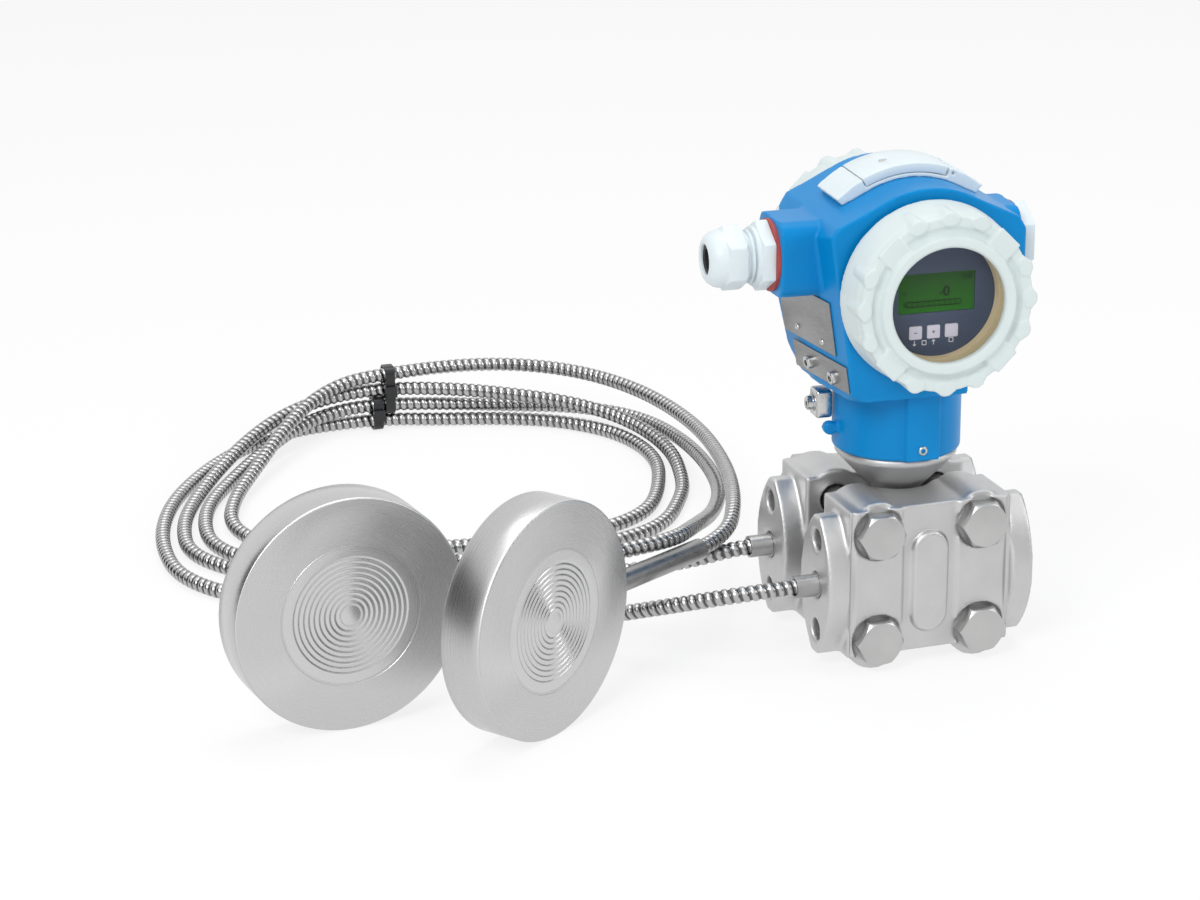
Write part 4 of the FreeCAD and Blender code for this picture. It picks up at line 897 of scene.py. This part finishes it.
def hex_turned(name, flats, profile, start, end):
    """What a hexagon bar and a turned shape about the same axis have in common."""
    bar = upright_rod(flats / math.sqrt(3), -end, -start, 6)
    bar.transform(Matrix.Rotation(math.pi / 2, 4, "X"))
    work = bmesh.new()
    work.from_mesh(carve(bar, spun(name, profile, 72), "INTERSECT"))
    bmesh.ops.remove_doubles(work, verts=work.verts, dist=0.01 * MM)
    ease_sharp(work, 0.35, 25)
    return to_mesh(work, name)


body_hex = hex_turned("gland_hex", BODY_FLATS, BODY_TURNED, -0.5, 7.9)
dome = hex_turned("gland_dome", NUT_FLATS, NUT_TURNED, 11, 29)
thread = spun("gland_thread", THREAD, 72)
rubber = spun("gland_rubber", CABLE_RUBBER, 48)
for name, mesh, finish_name, source in (("gland_hex", body_hex, "flap_plastic", "gland_body"),
                                        ("gland_dome", dome, "flap_plastic", "gland_nut"),
                                        ("gland_thread", thread, "flap_plastic", "gland_body"),
                                        ("gland_rubber", rubber, "dark_plastic", "gland_insert")):
    mesh.transform(GLAND_PLACE)
    put(name, mesh, finish_name, "housing", source)
    print(name, len(mesh.polygons), "faces")

# %% [markdown]
# ## What the display shows
# A segment display shows plain numbers and a bar of ten fields; the words of a real one are left
# out.  Text is turned into mesh before it is laid, so that its place is in its points.

# %% Display marks
SCREEN_FACE = -45.72
BEZEL_FACE = -46.05
KEY_FACE = -46.46
PRINT = 0.03


def laid(name, mesh, finish_name, across, up, face):
    """Lays a flat mesh upright on a face of the display, in the head's own measures."""
    mesh.transform(at_head(across, face, up, 90, "X"))
    return put(name, mesh, finish_name, "housing")


def number(name, words, height, across, up):
    """Digits on the panel."""
    text = bpy.data.curves.new(name, "FONT")
    text.body = words
    text.size = height * MM
    text.extrude = PRINT * MM
    text.align_x = "RIGHT"
    holder = linked(name, text)
    mesh = evaluated(holder)
    bpy.data.objects.remove(holder)
    return laid(name, mesh, "liquid_crystal", across, up, SCREEN_FACE)


def strokes(name, bars, finish_name, across, up, face):
    """Thin bars (from x, from y, to x, to y, width) that draw a mark."""
    work = bmesh.new()
    for from_x, from_y, to_x, to_y, width in bars:
        start, end = Vector((from_x, from_y, 0)) * MM, Vector((to_x, to_y, 0)) * MM
        along = end - start
        bar = bmesh.ops.create_cube(work, size=1)["verts"]
        bmesh.ops.scale(work, verts=bar, vec=(along.length, width * MM, 2 * PRINT * MM))
        turn = Matrix.Rotation(math.atan2(along.y, along.x), 4, "Z")
        bmesh.ops.transform(work, verts=bar, matrix=Matrix.Translation((start + end) / 2) @ turn)
    return laid(name, to_mesh(work, name), finish_name, across, up, face)


number("small_number", "100", 3.6, 15.4, 175.0)
number("large_number", "-0", 6.4, 5.5, 168.4)
print("digits laid")

# %% Bar of ten fields
BAR_LEFT, BAR_RIGHT, BAR_LOW, BAR_HIGH = -13.6, 10.6, 164.4, 166.6
BAR_FIELDS = 10
BAR_TIP = (BAR_LEFT - 1.6, (BAR_LOW + BAR_HIGH) / 2)
CURSOR = (-14.0, 170.4)
bars = [(BAR_LEFT, height, BAR_RIGHT, height, 0.4) for height in (BAR_LOW, BAR_HIGH)]
for step in range(BAR_FIELDS + 1):
    place = BAR_LEFT + (BAR_RIGHT - BAR_LEFT) * step / BAR_FIELDS
    bars.append((place, BAR_LOW, place, BAR_HIGH, 0.35))
bars += [(*BAR_TIP, BAR_LEFT, height, 0.4) for height in (BAR_HIGH, BAR_LOW)]
bars.append((CURSOR[0] - 1.6, CURSOR[1], *CURSOR, 0.4))
bars += [(CURSOR[0] - 0.5, CURSOR[1] + rise, *CURSOR, 0.3) for rise in (0.5, -0.5)]
strokes("bar_graph", bars, "liquid_crystal", 0, 0, SCREEN_FACE)
print("bar graph has", len(bars), "strokes")

# %% Marks on and under the keys
KEY_HEIGHT = 153.2
LEGEND_HEIGHT = 148.6
MINUS, PLUS, ENTER = -9.65, -1.6, 6.45
DASH = [(-0.7, 0, 0.7, 0, 0.3)]
CROSS = DASH + [(0, -0.7, 0, 0.7, 0.3)]
UP_ARROW = [(0, -1.1, 0, 1.1, 0.32), (-0.7, 0.35, 0, 1.1, 0.32), (0.7, 0.35, 0, 1.1, 0.32)]
DOWN_ARROW = [(a, -b, c, -d, width) for a, b, c, d, width in UP_ARROW]
SQUARE = [(-0.9, -0.9, 0.9, -0.9, 0.3), (0.9, -0.9, 0.9, 0.9, 0.3), (-0.9, 0.9, 0.9, 0.9, 0.3),
          (-0.9, -0.9, -0.9, 0.9, 0.3)]
strokes("minus_mark", DASH, "print_black", MINUS, KEY_HEIGHT, KEY_FACE)
strokes("plus_mark", CROSS, "print_black", PLUS, KEY_HEIGHT, KEY_FACE)
for name, mark, across, up in (("down_arrow", DOWN_ARROW, MINUS - 0.3, LEGEND_HEIGHT),
                               ("up_arrow", UP_ARROW, PLUS + 0.2, LEGEND_HEIGHT),
                               ("both_mark", SQUARE, (MINUS + PLUS) / 2, LEGEND_HEIGHT),
                               ("enter_mark", SQUARE, ENTER, LEGEND_HEIGHT + 0.4)):
    strokes(name, mark, "print_white", across, up, BEZEL_FACE)
print("key marks laid")

# %% [markdown]
# ## The seal discs
# Each disc is turned from one bar, so it is a profile spun about an axis, and the pressed
# diaphragm in its face is another.  Both get a UV map whose u runs round the axis, which is what
# the lathe finish needs to stretch its highlights.

# %% Turned discs
SEAL_RADIUS = 51.0
# For each seal: where it stands, in millimetres, and how far it is turned, in degrees.
SEALS = {"high": ((-178.2, -61.4), 34.8), "low": ((-255.4, -26.1), 6.8)}


def seal_place(side):
    """A matrix that stands a disc on its rim at its place, turned about the upright."""
    (across, back), turn = SEALS[side]
    return moved(across, back, SEAL_RADIUS) @ Matrix.Rotation(math.radians(turn), 4, "Z")


def ring_waves(inner, outer, count, depth, base, samples=10):
    """Points of a row of smooth rings pressed into a sheet, from the middle outwards."""
    made = []
    total = count * samples
    for step in range(total + 1):
        share = step / total
        made.append((inner + (outer - inner) * share,
                     base + depth * (0.5 - 0.5 * math.cos(math.tau * count * share))))
    return made


DISC_PROFILE = [
    (30.0, 0.8), (30.0, 0.0), (30.6, 0.0), (30.7, 0.12), (30.9, 0.12), (31.0, 0.0), (50.1, 0.0),
    (50.45, 0.1), (50.75, 0.35), (51.0, 0.9), (51.0, 19.1), (50.7, 19.7), (50.1, 20.0), (0.0, 20.0),
]
DIMPLE = [(0.0, 0.06), (3.6, 0.06), (4.1, 0.2), (4.6, 0.2)]
FOIL_PROFILE = DIMPLE + ring_waves(5.3, 26.0, 9, 0.4, 0.06) + [(29.97, 0.06), (29.97, 0.75)]
for side in SEALS:
    disc = spun(side + "_disc", DISC_PROFILE)
    foil = spun(side + "_foil", FOIL_PROFILE)
    for mesh in (disc, foil):
        mesh.transform(seal_place(side))
    put(side + "_disc", disc, "turned_stainless", "process", side + "_seal_body")
    put(side + "_foil", foil, "foil", "process", side + "_diaphragm", "turned_stainless")
    print(side, "disc", len(disc.polygons), "faces, diaphragm", len(foil.polygons))

# %% [markdown]
# ## The studio
# A pale floor and soft lamps stand for the product studio.  The world is white where the camera,
# a mirror or glass sees it, and dimmer as a light.  Metal has no colour of its own and shows only
# what stands around it, so dark cards beside the set give it the contrast of a real studio.  The
# cards exist for reflections alone: they cast no shadow and the camera doesn't see them.

# %% World
def white_for_mirrors(tree):
    """1 for rays from the camera, off metal or through glass, and 0 for light on matt surfaces."""
    path = node(tree, "ShaderNodeLightPath")
    either = node(tree, "ShaderNodeMath", {0: path.outputs["Is Camera Ray"],
                                           1: path.outputs["Is Glossy Ray"]}, operation="ADD")
    total = node(tree, "ShaderNodeMath", {0: either.outputs["Value"],
                                          1: path.outputs["Is Transmission Ray"]},
                 operation="ADD", use_clamp=True)
    return total.outputs["Value"]


def fresh_tree(owner):
    """The owner's node tree, emptied."""
    owner.use_nodes = True
    owner.node_tree.nodes.clear()
    return owner.node_tree


WORLD_LIGHT = 0.5
world = bpy.data.worlds.new("studio")
bpy.context.scene.world = world
tree = fresh_tree(world)
soft = node(tree, "ShaderNodeBackground", {"Color": colour("#FFFFFF"), "Strength": WORLD_LIGHT})
white = node(tree, "ShaderNodeBackground", {"Color": colour("#FFFFFF"), "Strength": 1.0})
blend = node(tree, "ShaderNodeMixShader", {0: white_for_mirrors(tree), 1: soft.outputs[0],
                                           2: white.outputs[0]})
node(tree, "ShaderNodeOutputWorld", {"Surface": blend.outputs[0]})

# %% Floor
FLOOR_SIZE = 12.0
FLOOR_GLOW = 0.8
floor_material = bpy.data.materials.new("matt_white_paper")
tree = fresh_tree(floor_material)
paper = node(tree, "ShaderNodeBsdfDiffuse", {"Color": colour("#F4F4F4")})
glow = node(tree, "ShaderNodeEmission", {"Color": colour("#FFFFFF"), "Strength": 1.0})
share = node(tree, "ShaderNodeMath", {0: white_for_mirrors(tree), 1: FLOOR_GLOW}, operation="MULTIPLY")
both = node(tree, "ShaderNodeMixShader", {0: share.outputs[0], 1: paper.outputs[0], 2: glow.outputs[0]})
node(tree, "ShaderNodeOutputMaterial", {"Surface": both.outputs[0]})


def sheet_mesh(name, width, height, cells, matrix):
    """A flat grid of a size in metres, laid by a matrix."""
    work = bmesh.new()
    bmesh.ops.create_grid(work, x_segments=cells, y_segments=cells, size=0.5)
    bmesh.ops.scale(work, verts=work.verts, vec=(width, height, 1))
    bmesh.ops.transform(work, verts=work.verts, matrix=matrix)
    return to_mesh(work, name)


floor = linked("floor", sheet_mesh("floor", FLOOR_SIZE, FLOOR_SIZE, 4, Matrix()))
floor.data.materials.append(floor_material)
print("floor laid")


# %% Lamps
def towards(place, target, forward, up):
    """The turn that points an axis from a place at a target."""
    return (Vector(target) - Vector(place)).to_track_quat(forward, up)


def lamp(name, place, target, size, power):
    """A square soft box that looks at a point."""
    made = linked(name, bpy.data.lights.new(name, "AREA"))
    made.data.shape = "SQUARE"
    made.data.size = size
    made.data.energy = power
    made.location = place
    made.rotation_euler = towards(place, target, "-Z", "Y").to_euler()


MIDDLE = (-0.1, 0.0, 0.08)
lamp("key_box", (-1.3, -1.1, 1.5), MIDDLE, 0.9, 22)
lamp("fill_box", (1.4, -1.0, 0.9), MIDDLE, 0.9, 9)
lamp("top_box", (0.0, 0.3, 1.9), MIDDLE, 1.2, 12)
print("lamps stand round", MIDDLE)


# %% Dark cards
def dark_card(name, place, target, width, height, code):
    """A card that only reflections see."""
    turn = towards(place, target, "Z", "Y").to_matrix().to_4x4()
    card = linked(name, sheet_mesh(name, width, height, 1, Matrix.Translation(Vector(place)) @ turn))
    material = bpy.data.materials.new(name + "_felt")
    tree = fresh_tree(material)
    felt = node(tree, "ShaderNodeEmission", {"Color": colour(code), "Strength": 1.0})
    node(tree, "ShaderNodeOutputMaterial", {"Surface": felt.outputs[0]})
    card.data.materials.append(material)
    for sees in ("visible_camera", "visible_diffuse", "visible_shadow", "visible_transmission"):
        setattr(card, sees, False)


dark_card("left_card", (-1.6, 0.2, 0.5), MIDDLE, 1.6, 1.2, "#2A2A2A")
dark_card("right_card", (1.5, 0.4, 0.5), MIDDLE, 1.2, 1.2, "#303030")
dark_card("front_card", (0.5, -0.7, 0.3), (-0.2, -0.05, 0.06), 0.5, 0.55, "#242424")
dark_card("floor_card", (0.25, -0.8, 0.01), (0.25, -0.8, 1.0), 0.5, 0.3, "#6A6A6A")
print("studio set with", len(bpy.data.lights), "lamps")

# %% [markdown]
# ## View settings and the end
# The Standard view shows colours as they are written.

# %% Finish
bpy.context.scene.view_settings.view_transform = "Standard"
